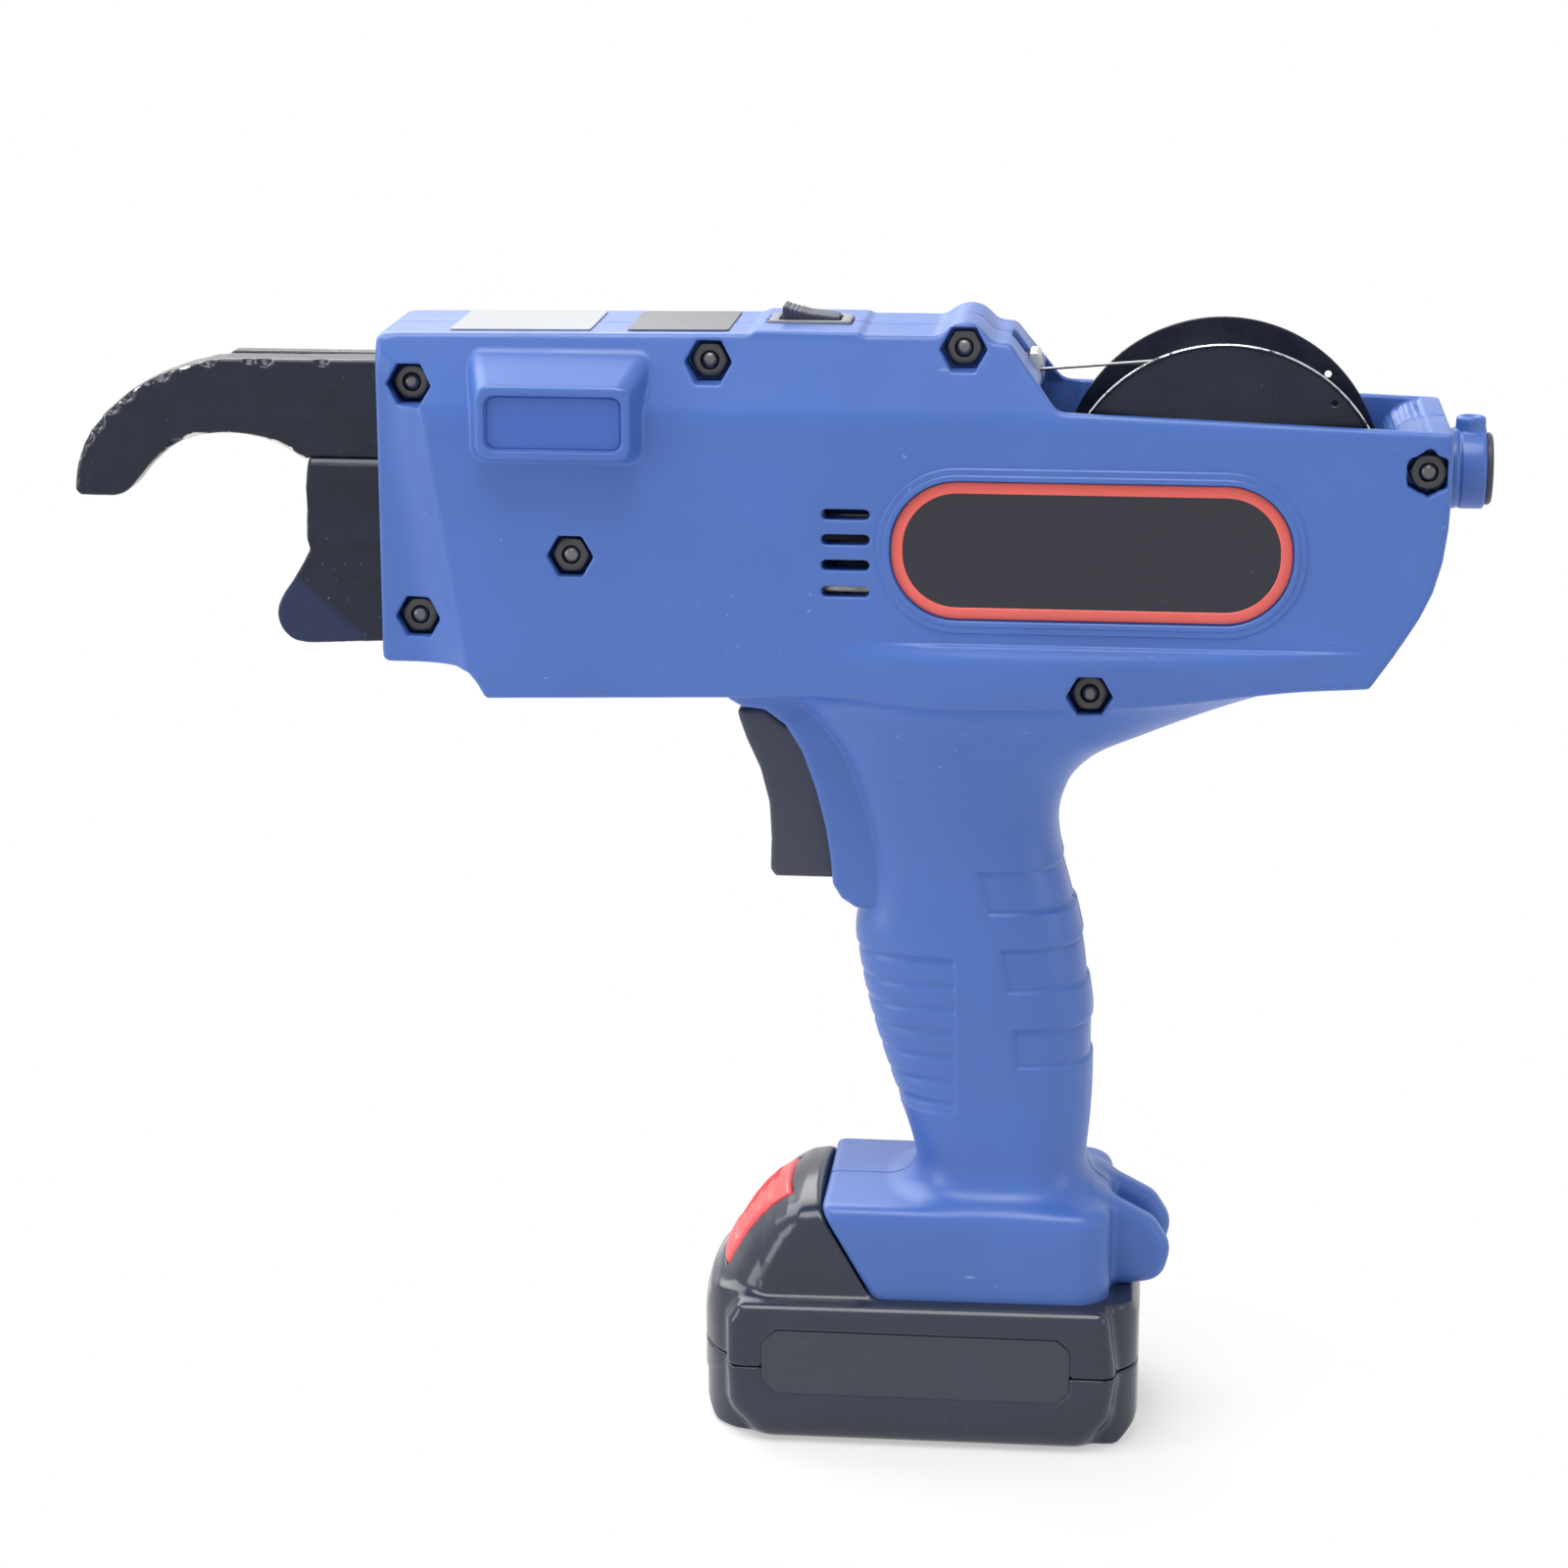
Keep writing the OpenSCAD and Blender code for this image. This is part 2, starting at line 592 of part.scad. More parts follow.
module left_housing() {
    color("royalblue") half_housing(true);
}
module right_housing() {
    color("royalblue") mirror([0, 1, 0]) half_housing(false);
}
module housing_bolts() {
    color("dimgray") for (i = [0 : len(bolts) - 1]) let (face = bolt_faces[i] - pocket_depth,
        p = bolts[i]) {
        rod_y(p[0], p[1], bolt_r, -face - nut_t, face);
        difference() {
            rod_y(p[0], p[1], head_d / 2, face, face + head_t);
            translate([p[0], face + head_t + over, p[1]]) rotate([90, 0, 0])
                cylinder(r = bolt_r / cos(30), h = head_t / 2 + over, $fn = 6);
        }
    }
}
module housing_nuts() {
    color("dimgray") for (i = [0 : len(bolts) - 1]) let (face = bolt_faces[i] - pocket_depth,
        p = bolts[i])
        translate([p[0], -face, p[1]]) rotate([90, 0, 0]) difference() {
            cylinder(r = nut_af / 2 / cos(30), h = nut_t, $fn = 6);
            translate([0, 0, -over]) cylinder(r = bolt_r + run, h = nut_t + 2 * over);
        }
}
module name_plates() {
    color("black") both_sides() translate([plate_x, -half_w + plate_sink, plate_z]) rotate([90, 0, 0])
        linear_extrude(plate_t) lozenge(plate_w, plate_h, plate_r);
}
top_plate_t = 0.5;
top_plate_w = 30;
top_plate_shares = [[0.108, 0.325], [0.377, 0.53]];
function top_at(x) = let (a = body_outline[0],
    b = body_outline[1]) a[1] + (b[1] - a[1]) * (x - a[0]) / (b[0] - a[0]);
module top_plates() {
    color("silver") for (s = top_plate_shares) let (x0 = front_x(s[0]), x1 = front_x(s[1]))
        along_y(-top_plate_w / 2, top_plate_w / 2) polygon([[x0, top_at(x0) + seam],
        [x0, top_at(x0) + top_plate_t],
            [x1, top_at(x1) + top_plate_t], [x1, top_at(x1) + seam]]);
}
module switch_frame() {
    z = top_z + switch_pad;
    color("black") difference() {
        union() {
            block(switch_x - switch_len / 2, switch_x + switch_len / 2, -switch_w / 2, switch_w / 2,
                z + seam,
                z + switch_rim);
            block(switch_x - switch_len / 2 + switch_rim + seat,
                switch_x + switch_len / 2 - switch_rim - seat,
                -switch_w / 2 + switch_rim + seat, switch_w / 2 - switch_rim - seat,
                top_z - switch_deep, z + seam);
        }
        block(switch_x - rocker_len / 2 - slide, switch_x + rocker_len / 2 + slide, -rocker_w / 2 - slide,
            rocker_w / 2 + slide, z - rocker_deep, z + switch_rim + over);
    }
}
rocker_len = switch_len - 4 * switch_rim;
rocker_w = switch_w - 4 * switch_rim;
rocker_deep = 6;
rocker_z = top_z + switch_pad;
module power_rocker() {
    half = rocker_len / 2;
    color("black") translate([switch_x, 0, rocker_z]) {
        along_y(-rocker_w / 2, rocker_w / 2)
            polygon([[-half * cos(rocker_tilt), rocker_rise + half * sin(rocker_tilt)],
                [0, rocker_rise - half * sin(rocker_tilt) / 2], [half * cos(rocker_tilt),
                rocker_rise - half * sin(rocker_tilt)],
                [half * cos(rocker_tilt), -half * sin(rocker_tilt)], [0, -rocker_rise],
                [-half * cos(rocker_tilt), 0]]);
        rod_y(0, 0, rocker_pin_r, -rocker_w / 2 - slide / 2, rocker_w / 2 + slide / 2);
    }
}
rocker_pin_r = 1;

hook_cx = nose_x - jaw_reach + hook_outer_r;
hook_cz = hook_top - hook_outer_r;
hook_root_h = 23.7;
hook_foot = hook_top - hook_root_h;
hook_arch_h = 17.8;
hook_arch = hook_top - hook_arch_h;
hook_shift = 3.2;
hook_inner_x = hook_cx + hook_shift;
hook_tip_w = 10;
hook_tip_a = 140;
hook_foot_a = asin((hook_foot - hook_arch + hook_inner_r) / hook_inner_r);
module hook() {
    outline = concat([[nose_x + jaw_root, hook_foot], [nose_x + jaw_root, hook_top]],
        arc(hook_cx, hook_cz, hook_outer_r, 90, 180, 14),
        [[hook_cx - hook_outer_r + hook_tip_w, hook_cz]],
        arc(hook_inner_x, hook_arch - hook_inner_r, hook_inner_r, hook_tip_a, hook_foot_a, 14));
    color("dimgray") difference() {
        along_y(hook_y0, hook_y1) polygon(outline);
        translate([hook_inner_x, 0, hook_arch - hook_inner_r]) rotate([90, 0, 0])
            rotate_extrude(angle = 360)
            translate([hook_inner_r - wire_d, -wire_d]) square([3 * wire_d, 2 * wire_d]);
        rod_y(bolts[0][0], bolts[0][1], bolt_hole_r, hook_y0 - over, hook_y1 + over);
        block(nose_x - jaw_root, nose_x + jaw_root + over, -wire_d, wire_d, wire_z - wire_d,
            wire_z + wire_d);
    }
}
guide_len_share = 0.55;
module hook_plate() {
    color("dimgray") difference() {
        block(nose_x - jaw_reach * guide_len_share, nose_x + jaw_root, hook_y1 + seam,
            hook_y1 + guide_t, hook_arch,
            hook_top + seat / 2);
        rod_y(bolts[0][0], bolts[0][1], bolt_hole_r, hook_y0, half_w);
        rod_y(cutter_x, cutter_z, cutter_pin_r + run, hook_y0, half_w);
    }
}
// Lower jaw: two cheeks with a rounded chin, joined round the lower nose bolt
chin_r = 6.4;
cheek_reach = 19.5;
cheek_waist_share = 0.33;
cheek_lap = 0.9;
cheek_top = hook_foot + cheek_lap - seat;
module lower_jaw() {
    chin_x = nose_x - cheek_reach;
    outline = concat([[nose_x + jaw_root, jaw_z], [nose_x + jaw_root, cheek_top],
        [chin_x, cheek_top], [chin_x + lip, jaw_z + jaw_h * cheek_waist_share]],
        arc(chin_x, jaw_z + chin_r, chin_r, 150, 270, 8));
    color("dimgray") difference() {
        union() {
            both_sides() along_y(-jaw_w / 2, -jaw_w / 2 + cheek_t) polygon(outline);
            rod_y(bolts[1][0], bolts[1][1], boss_r, -jaw_w / 2, jaw_w / 2);
        }
        rod_y(bolts[1][0], bolts[1][1], bolt_hole_r, -jaw_w, jaw_w);
    }
}
// Frame that carries the twist shaft and its motor
frame_t = 4;
frame_share = 0.157;
frame_gap_share = 0.31475;
frame_gap = frame_gap_share * front_len;
frame_front = front_x(frame_share);
frame_rear = frame_front + frame_gap;
bearing_r = 8;
rail_r = 1.5;
rail_y = 14;
rail_rise = 10;
front_plate_half = flange_half - wall - seat;
module gear_frame() {
    color("silver") difference() {
        union() {
            block(frame_front, frame_front + frame_t, -front_plate_half, front_plate_half,
                twist_z - bearing_r - wall,
                twist_z + rail_rise + rail_r + wall);
            block(frame_rear, frame_rear + frame_t, -in_w + seat, in_w - seat, body_z + 2 * wall,
                twist_z + rail_rise + rail_r + wall);
            both_sides() rod_x(-rail_y, twist_z + rail_rise, rail_r, frame_front, frame_rear + frame_t);
        }
        rod_x(0, twist_z, bearing_r, frame_front - over, frame_rear + frame_t + over);
        rod_x(0, motor_z, motor_boss_r, frame_rear - over, frame_rear + frame_t + over);
    }
}
motor_boss_r = 6.5;
motor_end = 2;
module shaft_bearings() {
    color("silver") for (x = [frame_front, frame_rear]) difference() {
        rod_x(0, twist_z, bearing_r - run, x, x + frame_t);
        rod_x(0, twist_z, twist_d / 2 + run, x - over, x + frame_t + over);
    }
}
motor_x = frame_rear + frame_t + seam;
motor_shaft_r = 1.6;
pinion_in = 8;
module twist_motor() {
    color("gray") difference() {
        union() {
            rod_x(0, motor_z, motor_d / 2, motor_x, motor_x + motor_len);
            rod_x(0, motor_z, motor_boss_r - run, motor_x - frame_t, motor_x + over);
            rod_x(0, motor_z, motor_boss_r, motor_x + motor_len - over, motor_x + motor_len + motor_end);
        }
        rod_x(0, motor_z, motor_shaft_r + run, motor_x - frame_t - over, motor_x + pinion_in + over);
    }
}
gear_t = 6;
gear_x = frame_rear - gear_t - lip;
module motor_pinion() {
    color("goldenrod") {
        along_x(gear_x - lip, gear_x + gear_t) translate([0, motor_z]) gear(twist_pinion_teeth,
            90 + 180 / twist_pinion_teeth);
        rod_x(0, motor_z, motor_shaft_r, gear_x, motor_x + pinion_in);
    }
}
module twist_gear() {
    color("goldenrod") difference() {
        along_x(gear_x, gear_x + gear_t) translate([0, twist_z]) gear(twist_teeth, -90);
        rod_x(0, twist_z, twist_d / 2, gear_x - over, gear_x + gear_t + over);
    }
}
// Twist shaft with a fork that holds the two gripper jaws
fork_out = 6;
fork_x = nose_x - fork_out;
fork_len = 9;
fork_r = 7;
grip_slot = 3.4;
grip_pin_y = 3.4;
grip_pin_r = 1.2;
grip_len = 9;
module twist_shaft() {
    color("silver") {
        difference() {
            union() {
                rod_x(0, twist_z, twist_d / 2, fork_x + fork_len - over, frame_rear + frame_t);
                rod_x(0, twist_z, fork_r, fork_x, fork_x + fork_len);
            }
            block(fork_x - over, fork_x + fork_len - over, -fork_r, fork_r, twist_z - grip_slot / 2,
                twist_z + grip_slot / 2);
        }
        for (s = [-1, 1]) translate([fork_x + fork_len / 2, s * grip_pin_y, twist_z - grip_slot])
            cylinder(r = grip_pin_r, h = 2 * grip_slot);
    }
}
module gripper(s) {
    grip_t = grip_slot - 2 * seat;
    tip_x = fork_x - grip_len;
    mid = fork_x + fork_len / 2;
    ring = grip_pin_r + wall / 2;
    translate([0, 0, twist_z - grip_t / 2]) difference() {
        union() {
            translate([mid, s * grip_pin_y, 0]) cylinder(r = ring, h = grip_t);
            linear_extrude(grip_t) polygon([[mid, s * (grip_pin_y - ring + lip)],
                [mid, s * (grip_pin_y + ring)],
                [tip_x, s * (grip_pin_y + ring)], [tip_x, s * lip * 2], [tip_x + lip, s * lip * 2],
                [tip_x + 2 * lip, s * (grip_pin_y - seat)]]);
        }
        translate([mid, s * grip_pin_y, -over]) cylinder(r = grip_pin_r + run, h = grip_t + 2 * over);
    }
}
module gripper_left() {
    color("dimgray") gripper(-1);
}
module gripper_right() {
    color("dimgray") gripper(1);
}
// Wire feed: motor, three gears on the nut side, two rollers
feed_motor_half = -gear_y - feed_gear_t - slide;
bush_r = 4.6;
module feed_motor() {
    color("gray") difference() {
        union() {
            rod_y(feed_x, feed_z, feed_motor_d / 2, -feed_motor_half, feed_motor_half);
            rod_y(feed_x, feed_z, motor_boss_r / 2, feed_motor_half - over, in_w - seat);
        }
        rod_y(feed_x, feed_z, motor_shaft_r + run, -feed_motor_half - over,
            -feed_motor_half + pinion_in + over);
    }
}
module feed_pinion() {
    color("goldenrod") {
        along_y(gear_y, gear_y + feed_gear_t) translate([feed_x, feed_z])
            gear(feed_pinion_teeth, feed_turn + 180 + 180 / feed_pinion_teeth);
        rod_y(feed_x, feed_z, motor_shaft_r, gear_y, -feed_motor_half + pinion_in);
    }
}
module gear_bush() {
    color("goldenrod") difference() {
        rod_y(gear_axis[0], gear_axis[1], bush_r, gear_y, gear_y + feed_gear_t + lip);
        rod_y(gear_axis[0], gear_axis[1], bolt_r + run, -half_w, half_w);
    }
}
module transfer_gear() {
    color("goldenrod") difference() {
        along_y(gear_y, gear_y + feed_gear_t) translate(gear_axis) gear(transfer_teeth, feed_turn);
        rod_y(gear_axis[0], gear_axis[1], bush_r + run, -half_w, half_w);
    }
}
axle_r = 2;
roller_half = 4;
bracket_y = roller_half + seat;
bracket_t = 2.6;
roller_turn = 270 + 180 / roller_teeth - (feed_turn - 90) * transfer_teeth / roller_teeth;
module roller(z) {
    translate([roller_x, 0, z]) rotate([90, 0, 0]) rotate_extrude()
        polygon([[0, -roller_half], [roller_d / 2 - nip_gap / 4, -roller_half],
        [roller_d / 2 - nip_gap / 4, -nip_gap - wire_r],
            [roller_d / 2 - wire_d, -wire_r], [roller_d / 2 - wire_d, wire_r],
            [roller_d / 2 - nip_gap / 4, nip_gap + wire_r], [roller_d / 2 - nip_gap / 4, roller_half],
            [0, roller_half]]);
}
module drive_roller() {
    color("silver") {
        roller(roller_z);
        rod_y(roller_x, roller_z, axle_r, gear_y, bracket_y + bracket_t);
        along_y(gear_y, gear_y + feed_gear_t) translate([roller_x, roller_z]) gear(roller_teeth,
            roller_turn);
    }
}
module pressure_roller() {
    color("silver") {
        roller(press_z);
        rod_y(roller_x, press_z, axle_r, -bracket_y - bracket_t, bracket_y + bracket_t);
    }
}
bracket_half = 8.5;
module roller_bracket() {
    z1 = top_at(roller_x) - wall - seat;
    color("silver") difference() {
        union() {
            both_sides() block(roller_x - bracket_half, roller_x + bracket_half,
                -bracket_y - bracket_t, -bracket_y,
                roller_z - axle_r - wall, z1 - seam);
            block(roller_x - bracket_half, roller_x + bracket_half, -bracket_y - over, bracket_y + over,
                z1 - bracket_top, z1 - seam);
        }
        for (z = [roller_z, press_z]) rod_y(roller_x, z, axle_r + run, -half_w, half_w);
    }
}
bracket_top = 1.6;
module wire_inlet() {
    color("silver") difference() {
        block(inlet_x - inlet_len + seat, inlet_x, -inlet_w / 2, inlet_w / 2, inlet_z - inlet_h / 2,
            inlet_z + inlet_h / 2);
        rod_x(0, inlet_z, wire_d + nip_gap, inlet_x - inlet_len - over, inlet_x + over);
    }
}
module wire_tube() {
    color("black") difference() {
        bar(wire_start + tube_shares[0] * wire_way, wire_start + tube_shares[1] * wire_way, tube_r);
        bar(wire_start, wire_nip, wire_r + seat);
    }
}
module tie_wire() {
    color("silver") bar(wire_start, wire_start + wire_end_share * wire_way, wire_r);
}
cutter_in = 10.675;
cutter_x = nose_x + cutter_in;
cutter_drop = 3;
cutter_z = wire_z - cutter_drop;
cutter_pin_r = 1.5;
cutter_t = 2;
cutter_len = 8;
cutter_y = hook_y1 + guide_t + seat;
module cutter_pin() {
    color("silver") rod_y(cutter_x, cutter_z, cutter_pin_r, hook_y1 + seam, cutter_y + cutter_t + seat);
}
module cutter_blade() {
    color("dimgray") difference() {
        along_y(cutter_y, cutter_y + cutter_t) polygon([
            [cutter_x - cutter_len, cutter_z + cutter_drop],
            [cutter_x - cutter_len, cutter_z + cutter_drop - lip],
            [cutter_x - cutter_pin_r, cutter_z - 2 * cutter_pin_r],
            [cutter_x + cutter_len / 2, cutter_z - 2 * cutter_pin_r],
            [cutter_x + cutter_len / 2, cutter_z + cutter_pin_r],
            [cutter_x, cutter_z + 2 * cutter_pin_r]]);
        rod_y(cutter_x, cutter_z, cutter_pin_r + run, cutter_y - over, cutter_y + cutter_t + over);
    }
}
// Reel
module reel_spindle() {
    color("silver") rod_y(reel_x, reel_z, spindle_d / 2, -in_w - spindle_in + seam,
        in_w + spindle_in - seam);
}
module reel() {
    color("darkslategray") translate([reel_x, 0, reel_z]) rotate([90, 0, 0]) difference() {
        rotate_extrude() polygon([[spindle_d / 2 + run, -reel_w / 2], [reel_d / 2, -reel_w / 2],
            [reel_d / 2, -reel_w / 2 + flange_t], [hub_d / 2, -reel_w / 2 + flange_t],
            [hub_d / 2, reel_w / 2 - flange_t], [reel_d / 2, reel_w / 2 - flange_t],
            [reel_d / 2, reel_w / 2],
            [spindle_d / 2 + run, reel_w / 2]]);
        rotate([0, 0, tie_hole_a]) translate([reel_d / 2 - wall, 0, -reel_w]) cylinder(r = wire_d,
            h = 2 * reel_w);
    }
}
tie_hole_a = 45;
layer_inset = 1;
layer_half = reel_w / 2 - flange_t - layer_inset;
layer_rings = 24;
core_d = (winding_d - 2 * wire_d) * cos(180 / layer_rings) - 2 * run;
module winding_core() {
    color("gray") translate([reel_x, 0, reel_z]) rotate([90, 0, 0]) difference() {
        cylinder(r = core_d / 2, h = 2 * layer_half, center = true);
        cylinder(r = hub_d / 2, h = reel_w, center = true);
    }
}
layer_pitch = (2 * layer_half - 2 * wire_d) / turns;
layer_r = winding_d / 2 - wire_r;
coil_pts = [for (i = [0 : turns * layer_rings]) coil_at(i / layer_rings, layer_r, 0, layer_pitch)];
coil_gap = min([for (i = [0 : layer_rings]) for (j = [i + layer_rings - 2 : i + layer_rings + 2])
    norm(coil_pts[i] - coil_pts[j])]) - wire_d;
echo(winding_gap = coil_gap);
module winding_wire() {
    color("lightgray") translate([reel_x, 0, reel_z])
        coil(turns, layer_rings, layer_r, wire_r, -layer_half + wire_d, layer_pitch);
}
// Electrics
board_t = 1.6;
board_shares = [[0.55, 0.52], [0.9, 0.82]];
part_h = 5;
part_shares = [[0.1, 0.2, 0.3, 0.6], [0.4, 0.15, 0.6, 0.8], [0.7, 0.3, 0.92, 0.7]];
module control_board() {
    x0 = front_x(board_shares[0][0]);
    x1 = front_x(board_shares[1][0]);
    z0 = body_at(board_shares[0][1]);
    z1 = body_at(board_shares[1][1]);
    y1 = in_w - seat;
    color("green") {
        block(x0, x1, y1 - board_t, y1, z0, z1);
        for (s = part_shares) block(x0 + s[0] * (x1 - x0), x0 + s[2] * (x1 - x0), y1 - board_t - part_h,
            y1 - board_t / 2, z0 + s[1] * (z1 - z0), z0 + s[3] * (z1 - z0));
    }
}
trigger_back_share = 0.808;
trigger_back = trigger_x + trigger_back_share * trigger_h;
stem_z = trigger_z + trigger_h / 2;
stem_r = 3;
switch_front = trigger_back + trigger_travel + slide;
switch_body_len = 27;
switch_body_half = 11;
switch_body_h = 28;
stem_len = 16;
module trigger_switch() {
    color("black") difference() {
        block(switch_front, switch_front + switch_body_len, -switch_body_half, switch_body_half,
            stem_z - switch_body_h / 2,
            stem_z + switch_body_h / 2);
        rod_x(0, stem_z, stem_r + slide, switch_front - over, switch_front + trigger_travel + stem_len);
    }
}
module trigger() {
    color("black") {
        along_y(-trigger_w / 2, trigger_w / 2) polygon(trigger_at(trigger_shares));
        rod_x(0, stem_z, stem_r, trigger_back - over, trigger_back + stem_len);
    }
}
spring_wire = 0.8;
spring_turns = 4;
spring_rings = 8;
spring_r = stem_r + slide + spring_wire;
spring_len = trigger_travel;
module trigger_spring() {
    color("silver") translate([trigger_back + slide, 0, stem_z]) rotate([0, 0, -90])
        coil(spring_turns, spring_rings, spring_r, spring_wire / 2, spring_wire,
        (spring_len - 2 * spring_wire) / spring_turns);
}
lead_r = 1.2;
lead_y = 5;
block_top = rail_top;
lead_back = 6;
module leads() {
    bottom = [slot_end - wall - lead_back, -lead_y, block_top + lead_r / 2];
    top = [switch_front + switch_body_len / 2, -lead_y, stem_z - switch_body_h / 2 - lead_r / 2];
    color("crimson") both_sides() bar(bottom, top, lead_r);
}
blade_t = 0.8;
blade_y = 8;
blade_len = 9;
blade_h = 5;
term_len = 12;
term_x = slot_end - seat - term_len;
rail_mid = (rail_z + rail_top) / 2;
module terminal_block() {
    color("black") {
        block(term_x, slot_end - seat, -rail_half + slide, rail_half - slide, rail_z + slide,
            block_top - seam);
        both_sides() block(term_x - blade_len, term_x + over, -blade_y - blade_t / 2,
            -blade_y + blade_t / 2,
            rail_mid - blade_h / 2, rail_mid + blade_h / 2);
    }
}
// Torque dial on the rear wall
module dial_pot() {
    color("gray") difference() {
        rod_x(0, dial_z, pot_r, rear_x + seam, rear_x + dial_len / 2);
        rod_x(0, dial_z, dial_stem_r + run, rear_x - over, rear_x + dial_len);
    }
}
module torque_dial() {
    color("royalblue") {
        difference() {
            union() {
                rod_x(0, dial_z, dial_d / 2, rear_x + seat, rear_x + dial_len);
                translate([rear_x + dial_len / 2 + lip, 0, dial_z]) cylinder(r = dial_len / 2 - lip,
                    h = dial_d / 2 + wall);
            }
            rod_x(0, dial_z, pot_r + slide, rear_x - over, rear_x + dial_len / 2 + slide);
        }
        rod_x(0, dial_z, dial_stem_r, rear_x - wall / 2, rear_x + dial_len / 2 + over);
    }
}
module dial_cap() {
    color("black") rod_x(0, dial_z, dial_d / 2 - lip, rear_x + dial_len, rear_x + dial_len + cap_t);
}
// Battery
hump_lead = 27.5;
batt_x = base_x - hump_lead;
batt_end = batt_x + batt_len;
cheek_out = 4;
core_half = batt_w / 2 - cheek_out;
cheek_in = 7;
batt_soft = 4;
hump_half = 24;
hump_shares = [[0, -0.25], [0.036, -0.07], [0.145, 0.14], [0.33, 0.5], [0.56, 0.82], [0.75, 0.95],
    [0.985, 1]];
hump_top = batt_h + hump_h;
hump_curve = [for (s = hump_shares) [batt_x + s[0] * hump_lead, batt_h + s[1] * hump_h]];
core_outline = concat([[batt_x + batt_soft, 0], [batt_x, batt_soft]], hump_curve,
    [[base_x - slide, rail_top - slide], [base_x - slide, batt_h], [batt_end - batt_soft / 2, batt_h],
    [batt_end, batt_h - batt_soft / 2], [batt_end, batt_soft], [batt_end - batt_soft, 0]]);
cheek_outline = [[batt_x + cheek_in + batt_soft, 0], [batt_x + cheek_in, 2 * batt_soft],
    [batt_x + cheek_in, batt_h - batt_soft / 2],
    [batt_x + cheek_in + batt_soft, batt_h], [batt_end - cheek_in, batt_h],
    [batt_end - cheek_in + lip, batt_h / 2],
    [batt_end - cheek_in - batt_soft / 2, 0]];
rail_end = term_x - slide;
module batt_outer() {
    along_y(-core_half, core_half) polygon([for (p = core_outline) [p[0], min(p[1], batt_h)]]);
    along_y(-hump_half, hump_half) polygon(core_outline);
    along_y(-batt_w / 2, batt_w / 2) polygon(cheek_outline);
    block(base_x - over, rail_end, -rail_neck, rail_neck, batt_h - over, rail_z + over);
    block(base_x - over, rail_end, -rail_half, rail_half, rail_z + slide, rail_top);
}
module batt_inner() {
    block(batt_x + batt_wall, batt_end - batt_wall, -core_half + batt_wall, core_half - batt_wall,
        batt_wall,
        batt_h - batt_wall);
    block(batt_x + cheek_in + batt_wall, batt_end - cheek_in - batt_wall, -batt_w / 2 + batt_wall,
        batt_w / 2 - batt_wall, batt_wall, batt_h - batt_wall);
}
cell_row = cell_d + seat / 2;
cell_x = (batt_x + batt_end - cell_len) / 2;
cell_z = batt_wall + seat + cell_d / 2;
// The release button lies on the slope of the hump and is pressed square to it
button_a = atan2(hump_curve[4][1] - hump_curve[2][1], hump_curve[4][0] - hump_curve[2][0]);
button_mid = (hump_curve[2] + hump_curve[4]) / 2;
button_len = 26;
button_t = 6;
button_out = 1.6;
module on_slope() {
    translate([button_mid[0], 0, button_mid[1]]) rotate([0, -button_a, 0]) children();
}
module button_room() {
    half = button_len / 2 + slide;
    deep = button_t - button_out + button_travel + slide;
    on_slope() block(-half, half, -button_w / 2 - slide, button_w / 2 + slide, -deep, button_t);
}
screw_r = 1.5;
screw_shares = [[0.06, 0.55], [0.94, 0.55]];
screw_head_r = 2.8;
screw_deep = 2;
module screw_places() {
    for (s = screw_shares, side = [-1, 1])
        translate([batt_x + s[0] * batt_len, side * s[1] * core_half, 0]) children();
}
module battery_top() {
    color("black") difference() {
        union() {
            difference() {
                intersection() {
                    batt_outer();
                    block(batt_x - over, batt_end + over, -batt_w, batt_w, seam_h, hump_top + over);
                }
                batt_inner();
            }
            screw_places() translate([0, 0, seam_h]) cylinder(r = screw_head_r,
                h = batt_h - seam_h - lip);
        }
        screw_places() cylinder(r = screw_r + run, h = screw_len + over);
        button_room();
        both_sides() block(rail_end - blade_len - 2 * lip, rail_end + over, -blade_y - clip_half,
            -blade_y + clip_half,
            rail_mid - blade_h / 2 - slide, rail_top + over);
    }
}
clip_half = 2;
screw_len = 26;
module battery_bottom() {
    color("black") difference() {
        union() {
            difference() {
                intersection() {
                    batt_outer();
                    block(batt_x - over, batt_end + over, -batt_w, batt_w, 0, seam_h - seam);
                }
                batt_inner();
            }
            screw_places() cylinder(r = screw_head_r + lip, h = seam_h - seam);
        }
        screw_places() translate([0, 0, -over]) cylinder(r = screw_r + run, h = seam_h + 2 * over);
        screw_places() translate([0, 0, -over]) cylinder(r = screw_head_r + run, h = screw_deep + over);
    }
}
module battery_cells() {
    color("teal") for (i = [-1, 0, 1]) rod_x(i * cell_row, cell_z, cell_d / 2, cell_x, cell_x + cell_len);
}
module battery_board() {
    color("green") block(cell_x, cell_x + cell_len, -core_half + 2 * batt_wall, core_half - 2 * batt_wall,
        cell_z + cell_d / 2 + seat, cell_z + cell_d / 2 + seat + board_t);
}
clip_t = 0.6;
module battery_contacts() {
    color("goldenrod") both_sides() for (s = [-1,
        1]) let (y = -blade_y + s * (blade_t / 2 + slide + clip_t / 2))
        block(rail_end - blade_len - lip, rail_end - lip, y - clip_t / 2, y + clip_t / 2,
        rail_mid - blade_h / 2 - slide + seam,
            rail_mid + blade_h / 2);
}
module battery_screws() {
    color("silver") screw_places() {
        translate([0, 0, slide]) cylinder(r = screw_r, h = screw_len - slide);
        translate([0, 0, slide]) cylinder(r = screw_head_r, h = screw_deep - slide);
    }
}
button_steps = 4;
rib_share = 0.4;
